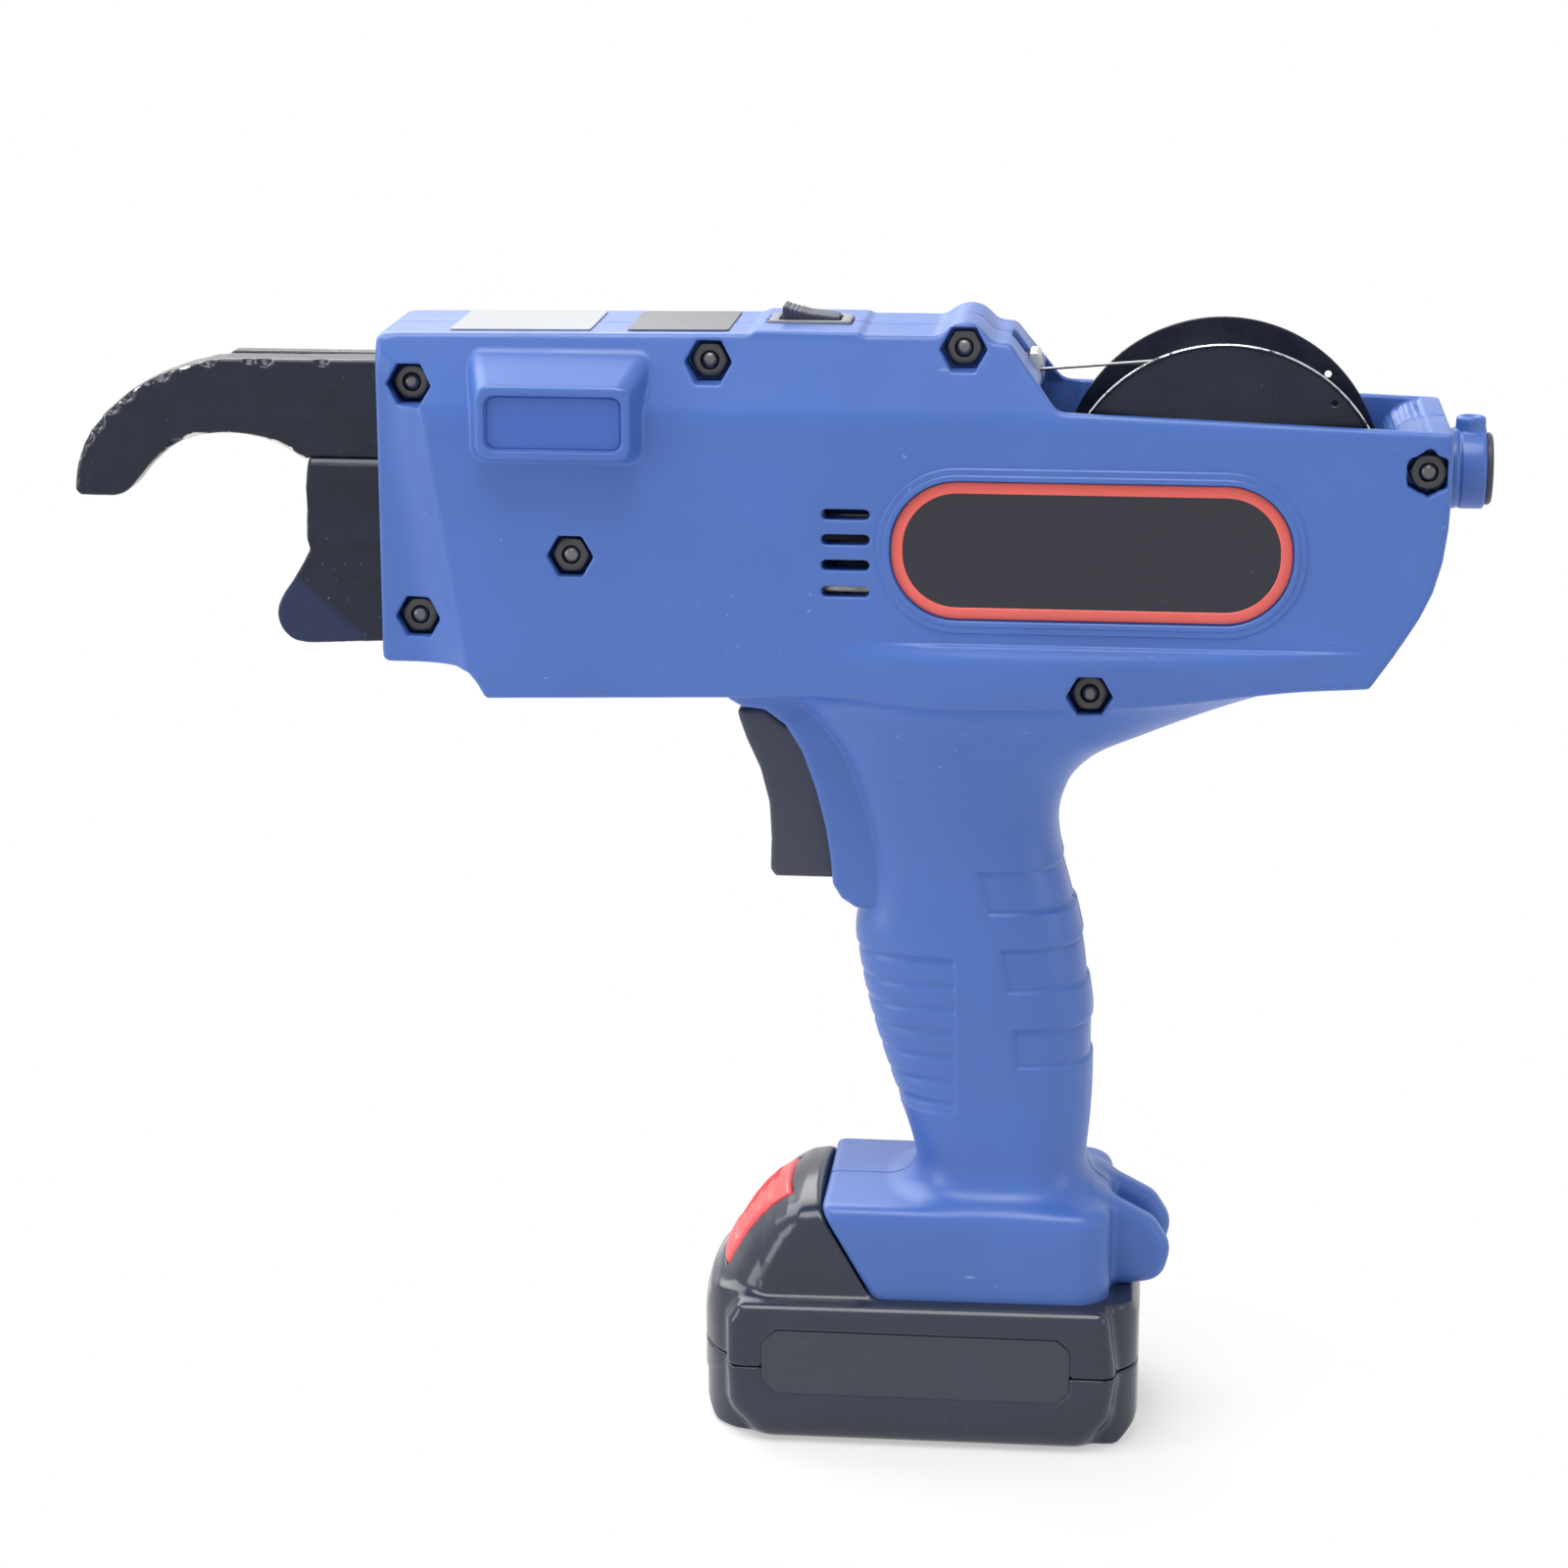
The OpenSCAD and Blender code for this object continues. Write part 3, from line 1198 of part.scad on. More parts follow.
module release_button() {
    half = button_len / 2;
    rib = button_len / button_steps;
    color("red") on_slope() along_y(-button_w / 2, button_w / 2) polygon(concat(
        [[half, -button_t + button_out], [-half, -button_t + button_out]],
        [for (i = [0 : button_steps - 1]) each [[-half + i * rib, button_out],
        [-half + (i + rib_share) * rib, button_out],
            [-half + (i + rib_share) * rib, button_out / 2], [-half + (i + 1) * rib, button_out / 2]]]));
}
button_spring_r = 3;
module button_spring() {
    deep = button_t - button_out + button_travel;
    color("silver") on_slope() translate([0, 0, -deep]) rotate([90, 0, 0])
        coil(spring_turns, spring_rings, button_spring_r, spring_wire / 4, spring_wire / 4,
            button_travel * spring_share / spring_turns);
}
spring_share = 0.72;

left_housing();
right_housing();
housing_bolts();
housing_nuts();
name_plates();
top_plates();
switch_frame();
hook();
hook_plate();
lower_jaw();
gear_frame();
shaft_bearings();
twist_motor();
feed_motor();
gear_bush();
roller_bracket();
wire_inlet();
wire_tube();
tie_wire();
control_board();
trigger_switch();
leads();
terminal_block();
reel_spindle();
dial_pot();
cutter_pin();
trigger();
trigger_spring();
power_rocker();
reel();
winding_core();
winding_wire();
twist_shaft();
twist_gear();
motor_pinion();
gripper_left();
gripper_right();
feed_pinion();
transfer_gear();
drive_roller();
pressure_roller();
cutter_blade();
torque_dial();
dial_cap();
battery_top();
battery_bottom();
battery_cells();
battery_board();
battery_contacts();
battery_screws();
release_button();
button_spring();
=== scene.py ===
import math

import bpy
import numpy as np
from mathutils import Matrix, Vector


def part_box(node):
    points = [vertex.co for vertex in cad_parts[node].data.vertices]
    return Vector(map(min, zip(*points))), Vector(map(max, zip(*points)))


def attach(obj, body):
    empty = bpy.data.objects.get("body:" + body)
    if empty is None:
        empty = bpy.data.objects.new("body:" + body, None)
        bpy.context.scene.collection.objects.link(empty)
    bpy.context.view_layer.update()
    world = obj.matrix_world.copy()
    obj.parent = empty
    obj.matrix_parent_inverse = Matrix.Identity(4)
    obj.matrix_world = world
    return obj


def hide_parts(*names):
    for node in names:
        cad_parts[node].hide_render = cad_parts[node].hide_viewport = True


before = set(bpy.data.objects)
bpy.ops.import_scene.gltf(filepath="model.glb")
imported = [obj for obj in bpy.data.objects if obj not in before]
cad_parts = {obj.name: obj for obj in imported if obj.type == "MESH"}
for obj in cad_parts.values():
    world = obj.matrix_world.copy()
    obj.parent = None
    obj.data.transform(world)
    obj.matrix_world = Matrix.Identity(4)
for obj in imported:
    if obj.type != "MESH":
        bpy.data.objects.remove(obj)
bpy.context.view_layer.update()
F = np.float32
MM = 0.001
scene = bpy.context.scene

# Camera at the photograph's angle
TURN, PITCH = math.radians(5.6), math.radians(15)
AIM, DISTANCE, LENS = Vector((0.0025, 0, 0.1559)), 0.9323, 90
camera = bpy.data.objects.new("camera", bpy.data.cameras.new("camera"))
back = Vector((math.sin(TURN) * math.cos(PITCH), -math.cos(TURN) * math.cos(PITCH), math.sin(PITCH)))
camera.data.lens, camera.data.sensor_width = LENS, 36
camera.location = AIM + back * DISTANCE
camera.rotation_euler = (-back).to_track_quat("-Z", "Y").to_euler()
scene.collection.objects.link(camera)
scene.camera = camera
scene.view_settings.view_transform = "Standard"


# Signed distance fields on grids, in millimetres
def grid(x0, x1, y0, y1, z0, z1, step):
    axes = [np.arange(a, b + step, step, dtype=F) for a, b in ((x0, x1), (y0, y1), (z0, z1))]
    return axes[0][:, None, None], axes[1][None, :, None], axes[2][None, None, :]


def unit(v):
    """v held between 0 and 1."""
    return np.clip(v, 0, 1)


def smin(a, b, k):
    """Union of two fields, blended over a width of k."""
    h = np.maximum(k - np.abs(a - b), 0)
    return np.minimum(a, b) - h * h * (0.25 / k)


def smax(a, b, k):
    """Overlap of two fields, blended over a width of k."""
    h = np.maximum(k - np.abs(a - b), 0)
    return np.maximum(a, b) + h * h * (0.25 / k)


def both(first, *others):
    """Overlap of fields with sharp edges."""
    for f in others:
        first = np.maximum(first, f)
    return first


def cut(a, b, k):
    """Field a with field b taken away."""
    return smax(a, -b, k)


def poly(u, v, points):
    """Distance to an outline in the plane of u and v, negative inside."""
    points = np.asarray(points, F)
    far = np.full(np.broadcast(u, v).shape, 1e9, F)
    inside = np.zeros(far.shape, bool)
    for a, b in zip(points, np.roll(points, -1, 0)):
        e = b - a
        p, q = u - a[0], v - a[1]
        t = unit((p * e[0] + q * e[1]) / max(e @ e, 1e-9))
        far = np.minimum(far, (p - t * e[0]) ** 2 + (q - t * e[1]) ** 2)
        if e[1] != 0:
            inside ^= ((a[1] > v) != (b[1] > v)) & (p < e[0] * q / e[1])
    return np.where(inside, F(-1), F(1)) * np.sqrt(far)


def rounded(corners, steps=5):
    """An outline whose corners (x, z, radius) are turned into arcs."""
    out = []
    n = len(corners)
    for i, c in enumerate(corners):
        p = np.array(c[:2], float)
        r = c[2] if len(c) > 2 else 0
        if r <= 0:
            out.append(p)
            continue
        a = np.array(corners[i - 1][:2], float) - p
        b = np.array(corners[(i + 1) % n][:2], float) - p
        la, lb = np.linalg.norm(a), np.linalg.norm(b)
        half = math.acos(np.clip(a @ b / la / lb, -1, 1)) / 2
        reach = min(r / math.tan(half), la * 0.48, lb * 0.48)
        start, end = p + a / la * reach, p + b / lb * reach
        for t in np.linspace(0, 1, steps):
            out.append((1 - t) ** 2 * start + 2 * t * (1 - t) * p + t * t * end)
    return out


def flowing(points, steps=4):
    """A smooth open curve through the points."""
    p = np.asarray(points, float)
    p = np.concatenate([2 * p[:1] - p[1:2], p, 2 * p[-1:] - p[-2:-1]])
    out = []
    for a, b, c, d in zip(p, p[1:], p[2:], p[3:]):
        second, third = a - 2.5 * b + 2 * c - d / 2, 1.5 * (b - c) + (d - a) / 2
        for t in np.linspace(0, 1, steps, endpoint=False):
            out.append(b + t * (c - a) / 2 + t * t * second + t**3 * third)
    return out + [p[-2]]


def lozenge(u, v, cu, cv, hu, hv, r):
    """A rectangle about (cu, cv) with half sizes hu and hv and corners of radius r."""
    p, q = np.abs(u - cu) - hu + r, np.abs(v - cv) - hv + r
    return np.hypot(np.maximum(p, 0), np.maximum(q, 0)) + np.minimum(np.maximum(p, q), 0) - r


def box(x, y, z, lo, hi, r=0.0):
    """A block between two corners with edges of radius r."""
    q = [np.abs(v - (a + b) / 2) - (b - a) / 2 + r for v, a, b in zip((x, y, z), lo, hi)]
    out = both(*q)
    if r:
        far = np.maximum(q[0], 0) ** 2 + np.maximum(q[1], 0) ** 2 + np.maximum(q[2], 0) ** 2
        out = np.minimum(out, 0) + np.sqrt(far)
    return out - r


def hexagon(u, v, flats):
    """A hexagon by its width across the flats."""
    u, v = np.abs(u), np.abs(v)
    return np.maximum(v, v * 0.5 + u * 0.8660254) - flats / 2


def press(f, d, depth, width=0.5):
    """Sinks the area where d is negative by depth, with an edge of that width."""
    return f + depth * unit(0.5 - d / width)


def wobble(x, y, z, size, seed):
    """Smooth noise from a few crossed waves, about -1 to 1."""
    rng = np.random.default_rng(seed)
    total = 0
    for _ in range(6):
        w = rng.normal(0, 1, 3)
        w = w / np.linalg.norm(w) * 2 * math.pi / size * rng.uniform(0.6, 1.6)
        total = total + np.sin(F(w[0]) * x + F(w[1]) * y + F(w[2]) * z + F(rng.uniform(0, 6.3)))
    return total / 2.5


# Surfaces of the fields
CORNERS = [(i, j, k) for i in (0, 1) for j in (0, 1) for k in (0, 1)]


def nets(f):
    """Vertices in grid units and quads of the surface f = 0."""
    inside = f < 0
    a, b, c = (n - 1 for n in f.shape)
    count = np.zeros((a, b, c), np.uint8)
    for i, j, k in CORNERS:
        count += inside[i : a + i, j : b + j, k : c + k]
    where = np.nonzero((count > 0) & (count < 8))
    index = np.full((a, b, c), -1, np.int32)
    index[where] = np.arange(len(where[0]))
    values = [f[where[0] + i, where[1] + j, where[2] + k] for i, j, k in CORNERS]
    total = np.zeros((len(where[0]), 3), F)
    hits = np.zeros(len(where[0]), F)
    for p in range(8):
        for q in range(p + 1, 8):
            d = np.subtract(CORNERS[q], CORNERS[p])
            if np.abs(d).sum() != 1:
                continue
            hit = (values[p] < 0) != (values[q] < 0)
            t = np.where(hit, values[p] / np.where(hit, values[p] - values[q], 1), 0)
            total += hit[:, None] * (np.array(CORNERS[p], F) + t[:, None] * d.astype(F))
            hits += hit
    points = np.stack(where, 1).astype(F) + total / hits[:, None]
    quads = []
    for axis, (o1, o2) in enumerate(((1, 2), (2, 0), (0, 1))):
        low, high = [slice(1, -1)] * 3, [slice(1, -1)] * 3
        low[axis], high[axis] = slice(0, -1), slice(1, None)
        one, two = inside[tuple(low)], inside[tuple(high)]
        at = np.array(np.nonzero(one != two))
        up = one[tuple(at)]
        at[o1] += 1
        at[o2] += 1

        def cell(d1, d2):
            q = at.copy()
            q[o1] += d1
            q[o2] += d2
            return index[tuple(q)]

        quad = np.stack([cell(-1, -1), cell(0, -1), cell(0, 0), cell(-1, 0)], 1)
        quad[~up] = quad[~up][:, ::-1]
        quads.append(quad)
    return points, np.concatenate(quads)


def sample(f, points):
    """The field at points in grid units."""
    points = np.clip(points, 0, np.array(f.shape) - 1.001)
    base = points.astype(np.int32)
    t = (points - base).astype(F)
    out = np.zeros(len(points), F)
    for i, j, k in CORNERS:
        share = 1
        for axis, far in enumerate((i, j, k)):
            share = share * (t[:, axis] if far else 1 - t[:, axis])
        out += share * f[base[:, 0] + i, base[:, 1] + j, base[:, 2] + k]
    return out


def slope(f, points, reach=0.6):
    """The field's gradient at points in grid units."""
    steps = np.eye(3, dtype=F) * reach
    return np.stack([sample(f, points + d) - sample(f, points - d) for d in steps], 1) / (2 * reach)


def put(name, points, faces, material, normals=None):
    """A mesh object from points in millimetres."""
    mesh = bpy.data.meshes.new(name)
    faces = np.asarray(faces, np.int32)
    n, sides = faces.shape
    mesh.vertices.add(len(points))
    mesh.vertices.foreach_set("co", (np.asarray(points) * MM).astype(F).ravel())
    mesh.loops.add(n * sides)
    mesh.loops.foreach_set("vertex_index", faces.ravel())
    mesh.polygons.add(n)
    mesh.polygons.foreach_set("loop_start", np.arange(0, n * sides, sides, dtype=np.int32))
    mesh.update(calc_edges=True)
    mesh.validate()
    mesh.polygons.foreach_set("use_smooth", np.ones(len(mesh.polygons), bool))
    if normals is not None:
        mesh.normals_split_custom_set_from_vertices(normals)
    item = bpy.data.objects.new(name, mesh)
    scene.collection.objects.link(item)
    if material:
        mesh.materials.append(material)
    return item


def points_of(mesh):
    """A mesh's points in millimetres."""
    points = np.zeros(len(mesh.vertices) * 3, F)
    mesh.vertices.foreach_get("co", points)
    return points.reshape(-1, 3) / MM


def settled(item):
    """The mesh of an object with its modifiers applied."""
    return bpy.data.meshes.new_from_object(item.evaluated_get(bpy.context.evaluated_depsgraph_get()))


def skin(name, g, f, material, keep=1.0, flip=False):
    """The surface of field f on grid g as an object, thinned to a share of its faces.

    Its normals are the field's own, and flip mirrors it to the right side.
    """
    origin = np.array([a.ravel()[0] for a in g], F)
    step = g[0].ravel()[1] - g[0].ravel()[0]
    points, quads = nets(f)
    for _ in range(2):
        n = slope(f, points)
        size = np.maximum((n * n).sum(1), 0.02 * step * step)
        points -= np.clip(sample(f, points) / size, -0.6 / step, 0.6 / step)[:, None] * n
    tris = np.concatenate([quads[:, [0, 1, 2]], quads[:, [0, 2, 3]]])
    if keep < 1:
        rough = put(name + "_rough", points, tris, None)
        thin = rough.modifiers.new("thin", "DECIMATE")
        thin.ratio = keep
        done = settled(rough)
        bpy.data.objects.remove(rough)
        points = points_of(done)
        done.calc_loop_triangles()
        tris = np.zeros(len(done.loop_triangles) * 3, np.int32)
        done.loop_triangles.foreach_get("vertices", tris)
        tris = tris.reshape(-1, 3)
        bpy.data.meshes.remove(done)
    n = slope(f, points)
    n /= np.maximum(np.linalg.norm(n, axis=1, keepdims=True), 1e-6)
    points = points * step + origin
    if flip:
        points[:, 1] *= -1
        n[:, 1] *= -1
        tris = tris[:, ::-1]
    return put(name, points, tris, material, n)


# Materials
def fill(node, values):
    """Sets a node's inputs, with _ in place of the spaces in their names."""
    for key, value in values.items():
        node.inputs[key.replace("_", " ")].default_value = value
    return node


def material(name, colour, rough, metal=0.0, **more):
    m = bpy.data.materials.new(name)
    m.use_nodes = True
    more.update(Base_Color=(*colour, 1), Roughness=rough, Metallic=metal)
    fill(m.node_tree.nodes["Principled BSDF"], more)
    return m


def srgb(r, g, b):
    """A colour as seen on a screen, 0 to 255, as the shader takes it."""
    parts = (r / 255, g / 255, b / 255)
    return tuple(c / 12.92 if c <= 0.04045 else ((c + 0.055) / 1.055) ** 2.4 for c in parts)


class Nodes:
    """Short calls for a material's node tree."""

    def __init__(self, m):
        self.tree = m.node_tree
        self.shader = self.tree.nodes["Principled BSDF"]
        self.place = self.new("TexCoord").outputs["Object"]

    def new(self, kind, **values):
        return fill(self.tree.nodes.new("ShaderNode" + kind), values)

    def link(self, a, b):
        self.tree.links.new(a, b)

    def noise(self, scale, detail=3.0, rough=0.55, stretch=None):
        n = self.new("TexNoise", Scale=scale, Detail=detail, Roughness=rough)
        place = self.place
        if stretch:
            move = self.new("Mapping", Scale=stretch[0], Rotation=stretch[1])
            self.link(place, move.inputs["Vector"])
            place = move.outputs["Vector"]
        self.link(place, n.inputs["Vector"])
        return n.outputs["Fac"]

    def span(self, value, a, b, c=0.0, d=1.0):
        n = self.new("MapRange", From_Min=a, From_Max=b, To_Min=c, To_Max=d)
        self.link(value, n.inputs["Value"])
        return n.outputs["Result"]

    def maths(self, kind, a, b):
        n = self.new("Math")
        n.operation = kind
        for i, v in enumerate((a, b)):
            if isinstance(v, (int, float)):
                n.inputs[i].default_value = v
            else:
                self.link(v, n.inputs[i])
        return n.outputs[0]

    def mix(self, share, a, b):
        n = self.new("Mix")
        n.data_type = "RGBA"
        self.link(share, n.inputs["Factor"])
        for key, v in (("A", a), ("B", b)):
            socket = [s for s in n.inputs if s.name == key and s.type == "RGBA"][0]
            if isinstance(v, tuple):
                socket.default_value = (*v, 1)
            else:
                self.link(v, socket)
        return [s for s in n.outputs if s.type == "RGBA"][0]

    def attribute(self, name):
        n = self.new("Attribute")
        n.attribute_name = name
        return n.outputs["Fac"]

    def bump(self, heights):
        """heights is a list of (height, depth in metres)."""
        last = None
        for height, depth in heights:
            n = self.new("Bump", Strength=1, Distance=depth)
            self.link(height, n.inputs["Height"])
            if last:
                self.link(last, n.inputs["Normal"])
            last = n.outputs["Normal"]
        self.link(last, self.shader.inputs["Normal"])


def plastic(
    name, colour, rough, shade=0.06, grain=1500, depth=0.00002, scuff=0.35, dust=(0.6, 0.65, 0.75), gloss=0.2,
    **more,
):
    """Moulded plastic: fine grain, uneven gloss, a little mottling, and fine scuffs."""
    m = material(name, colour, rough, **more)
    n = Nodes(m)
    dark, light = (tuple(c * (1 + s) for c in colour) for s in (-shade, shade))
    base = n.mix(n.span(n.noise(28, 4), 0.35, 0.65), dark, light)
    marks = n.maths(
        "MULTIPLY",
        n.span(n.noise(130, 2, stretch=((1, 1, 7), (0.3, 0.5, 0.2))), 0.70, 0.78),
        n.span(n.noise(38, 2), 0.56, 0.68),
    )
    specks = n.maths("MULTIPLY", n.span(n.noise(700, 1), 0.74, 0.8), n.span(n.noise(33, 2), 0.52, 0.62))
    worn = n.maths("MULTIPLY", n.maths("MAXIMUM", marks, specks), scuff)
    n.link(n.mix(worn, base, dust), n.shader.inputs["Base Color"])
    low, high = rough * (1 - gloss), min(1, rough * (1 + gloss))
    n.link(n.span(n.noise(70, 5), 0.3, 0.7, low, high), n.shader.inputs["Roughness"])
    n.bump([(n.noise(grain, 2), depth)])
    return m


def metal(name, colour, rough, shade=0.25, brush=0.00001, stretch=((1, 1, 1), (0, 0, 0)), **more):
    """Machined or stamped metal: fine tooling marks, stains and uneven gloss."""
    m = material(name, colour, rough, 1.0, **more)
    n = Nodes(m)
    dark = tuple(c * (1 - shade) for c in colour)
    n.link(n.mix(n.span(n.noise(90, 5), 0.4, 0.62), dark, colour), n.shader.inputs["Base Color"])
    n.link(n.span(n.noise(220, 4), 0.3, 0.7, rough * 0.7, min(1, rough * 1.4)), n.shader.inputs["Roughness"])
    n.bump([(n.noise(2200, 2, stretch=stretch), brush)])
    return m


def painted(name, colour, rough, bare=(0.72, 0.72, 0.73), blued=srgb(40, 52, 92), **more):
    """Black finish on steel, bared to bright metal where a point attribute holds wear and painted highlights
    and reflections, and tinted by a painted blue reflection where a second one asks.
    """
    m = material(name, colour, rough, **more)
    n = Nodes(m)
    edge = n.attribute("wear")
    fine, coarse = n.maths("MULTIPLY", n.noise(420, 5, 0.65), 0.9), n.maths("MULTIPLY", n.noise(90, 3), 0.5)
    chips = n.maths("ADD", fine, coarse)
    share = n.span(n.maths("ADD", edge, chips), 1.27, 1.36)
    specks = n.maths("MULTIPLY", n.span(n.noise(1300, 1), 0.74, 0.79), n.span(n.noise(60, 2), 0.45, 0.6))
    light = tuple(min(1, c * 1.25 + 0.002) for c in colour)
    base = n.mix(n.span(n.noise(150, 4), 0.4, 0.7), colour, light)
    base = n.mix(n.maths("MULTIPLY", specks, 0.6), base, (0.45, 0.45, 0.47))
    # Painted reflection: a blue tint where the attribute marks a facet that faces the light
    base = n.mix(n.attribute("blued"), base, blued)
    n.link(n.mix(share, base, bare), n.shader.inputs["Base Color"])
    n.link(share, n.shader.inputs["Metallic"])
    n.link(n.span(n.noise(180, 4), 0.3, 0.7, rough * 0.8, rough * 1.35), n.shader.inputs["Roughness"])
    n.bump([(n.noise(1500, 3), 0.000015), (share, -0.00006)])
    return m


BLUE = plastic("body_blue", srgb(69, 105, 180), 0.38, shade=0.045, scuff=0.3)
PAD = plastic("pad_blue", srgb(59, 96, 178), 0.36, shade=0.03, scuff=0.15)
BLACK = plastic(
    "black_plastic", srgb(63, 67, 83), 0.38, shade=0.1, scuff=0.12, dust=(0.3, 0.3, 0.32),
    Specular_IOR_Level=0.3,
)
BATTERY = plastic(
    "battery_black", srgb(42, 47, 62), 0.19, shade=0.08, grain=700, depth=0.000008, scuff=0.1,
    dust=(0.3, 0.31, 0.34), Specular_IOR_Level=0.45,
)
BEZEL = plastic("bezel_grey", srgb(126, 129, 136), 0.34, shade=0.05, scuff=0.15)
RED = plastic("red_plastic", srgb(230, 72, 74), 0.32, shade=0.05, scuff=0.2, dust=(0.9, 0.6, 0.6))
HOOK = painted("black_metal", srgb(24, 29, 45), 0.13, Specular_IOR_Level=0.32)
# The reel's bare colour shows on the flange rims as a painted highlight
SPOOL = painted("reel_black", srgb(21, 27, 43), 0.26, (0.6, 0.61, 0.63), Specular_IOR_Level=0.3)
STEEL = metal("steel", (0.55, 0.55, 0.56), 0.3)
DARK = metal("dark_steel", (0.085, 0.085, 0.09), 0.34)
BOLT = metal("bolt_steel", (0.17, 0.17, 0.175), 0.3)
BRASS = metal("brass", (0.72, 0.52, 0.24), 0.3)
MOTOR = metal("motor_steel", (0.48, 0.49, 0.5), 0.28, stretch=((0.05, 1, 1), (0, 0, 0)))
WIRE = metal("wire_steel", (0.36, 0.36, 0.38), 0.34)
ZINC = metal("zinc", (0.6, 0.6, 0.58), 0.4)
SHEET = {"grain": 700, "depth": 0.000006, "gloss": 0.05}
PLATE = plastic("plate_black", srgb(30, 32, 44), 0.34, shade=0.04, scuff=0.1, **SHEET)
BORDER = plastic("plate_border", srgb(232, 100, 90), 0.36, shade=0.04, scuff=0.1, **SHEET)
SILVER = plastic("plate_silver", srgb(150, 153, 160), 0.34, shade=0.05, scuff=0.25, **SHEET)
GREY = plastic("plate_grey", srgb(74, 78, 86), 0.36, shade=0.06, scuff=0.25, **SHEET)
LABEL_BLACK = plastic("label_black", srgb(50, 53, 68), 0.3, shade=0.06, scuff=0.08, **SHEET)
BOARD = plastic("board_green", srgb(32, 92, 62), 0.4, shade=0.15, scuff=0.1)
WRAP = plastic("cell_wrap", srgb(52, 120, 168), 0.3, shade=0.08, scuff=0.15)
RUBBER = plastic("lead_rubber", srgb(30, 30, 32), 0.55, shade=0.15, scuff=0.15)
# Finishes of the record's slots, for the CAD nodes that stay
FINISH = {m.name.split(".")[0]: m for m in (
    BLUE, BLACK, BATTERY, HOOK, STEEL, DARK, BRASS, MOTOR, WIRE, RED, PLATE, SILVER, BOARD, WRAP, RUBBER, ZINC,
)}


def hand_over(item, body, slot, *nodes):
    """Lets a piece ride on a body, in place of CAD nodes. The slot is not used."""
    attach(item, body)
    if nodes:
        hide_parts(*nodes)
    return item


def mark_points(item, amount, name="wear"):
    """Stores a share for each point, given the points in millimetres, for wear with painted highlights and
    reflections and for the painted blue reflection.
    """
    store = item.data.attributes.new(name, "FLOAT", "POINT")
    store.data.foreach_set("value", amount(points_of(item.data)).astype(F))


# Moulded body halves
HALF_WIDTH, NOSE_HALF, ROOM_HALF = 26.5, 20, 23.5
# Side outlines of the body and of the trigger's guard, as x and z
BODY = rounded([
    (-89.5, 188.4, 2), (-89.5, 265.2, 2.5), (-3.95, 266.1), (40, 266.2), (55.6, 264.7, 2.5),
    (66.4, 250.3, 4.5), (154.5, 247, 1.2), (154.5, 233), (154.2, 225.5), (153.2, 217.8), (151.3, 210.8),
    (148.6, 204.9), (145.2, 199.2), (141.6, 193.6), (138, 188.3, 1.5), (97, 185.7), (-64.4, 181.5, 1.2),
    (-66.5, 185.2), (-68.4, 187.5), (-71.5, 188.4),
])
GUARD = [
    (-7.1, 178.1), (-6, 177.5), (-0.9, 176.9), (3.9, 173.4), (7.8, 167.1), (11, 158.2), (13.3, 149.2),
    (14.5, 141.8), (15.2, 134.9), (17.2, 131.6), (20.6, 129.3), (42, 127), (42, 186), (-9, 186), (-9, 179.5),
]
# Handle sections: height, front, rear, half width
GRIP = np.array([
    (56, 36, 76, 17.9), (66.3, 35, 76, 17.9), (76.3, 32.1, 76.8, 17.7), (83, 29.5, 77.1, 17.6),
    (94.1, 25.8, 77.1, 18), (104.2, 22.9, 76.9, 18.4), (111, 21.4, 75.9, 18.5), (117, 20.4, 75.2, 18.5),
    (125.2, 20.2, 73.6, 18.5), (130, 21.6, 72.4, 18.5), (138.6, 22.4, 70, 18.6), (145.1, 21.8, 68.3, 18.8),
    (150.2, 20.6, 67.9, 19), (156.7, 18.6, 69, 19.6), (163.5, 16.2, 72.8, 20.6), (168.6, 13.8, 79.4, 21.7),
    (173, 10.2, 89.6, 22.9), (179.4, 4.1, 105, 24.8), (186, -4, 121, 26.1), (196, -14, 146, 26.6),
])
# Bolts from the nose to the rear: place, and how far out the body lies round it
NUTS = [
    (-81.4, 253.8), (-80.7, 199.3), (-12.7, 259.8), (-44.1, 215.5), (45, 263.3), (75, 185.7), (149.3, 238.1),
]
POCKETS = (20, 20, 21.6, 26.5, 20.6, 26.5, 26.5)
NOSE_NUTS, REAR_NUT = (0, 1), 6
# Heights of the vents and of the handle's ribs, and the front edges of the pads behind them
VENTS = (226.4, 220.6, 214.7, 208.6)
RIBS = (118.5, 112.1, 106.3, 100.5, 94.3, 88.0, 82.4)
PADS = (((49.8, 140.2), (52.2, 130.4)), ((55.3, 121.4), (57.1, 111.2)), ((58.7, 101.5), (59.4, 92.5)))
REEL, DIAL_Z = (103.9, 228.5), 234.81
low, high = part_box("wire_inlet")
INLET = float(low[2] + high[2]) / 2 / MM


def near(v, lo, hi):
    """The part of a grid's axis between two places."""
    v = v.ravel()
    return slice(int(np.searchsorted(v, lo)), int(np.searchsorted(v, hi)))


def window(g, x0, x1, z0, z1):
    """A part of a grid in side view: its slices, its x and its z."""
    s = near(g[0], x0, x1), slice(None), near(g[2], z0, z1)
    return s, g[0][s[0]], g[2][:, :, s[2]]


def eased(at, places, values):
    """A smooth curve through the values, without kinks at the places."""
    pull = np.gradient(values, places)
    i = np.clip(np.searchsorted(places, at) - 1, 0, len(places) - 2)
    gap = places[i + 1] - places[i]
    t = unit((at - places[i]) / gap)
    a, b = values[i], values[i + 1]
    return (
        a * (1 + 2 * t) * (1 - t) ** 2 + b * t * t * (3 - 2 * t)
        + gap * (pull[i] * t * (1 - t) ** 2 - pull[i + 1] * t * t * (1 - t))
    )


def shoulder(w, z):
    """Distance from the slope between the flat side and the narrower top."""
    return ((w - HALF_WIDTH) * 18 + (z - 248.2) * 8.1) / 19.74


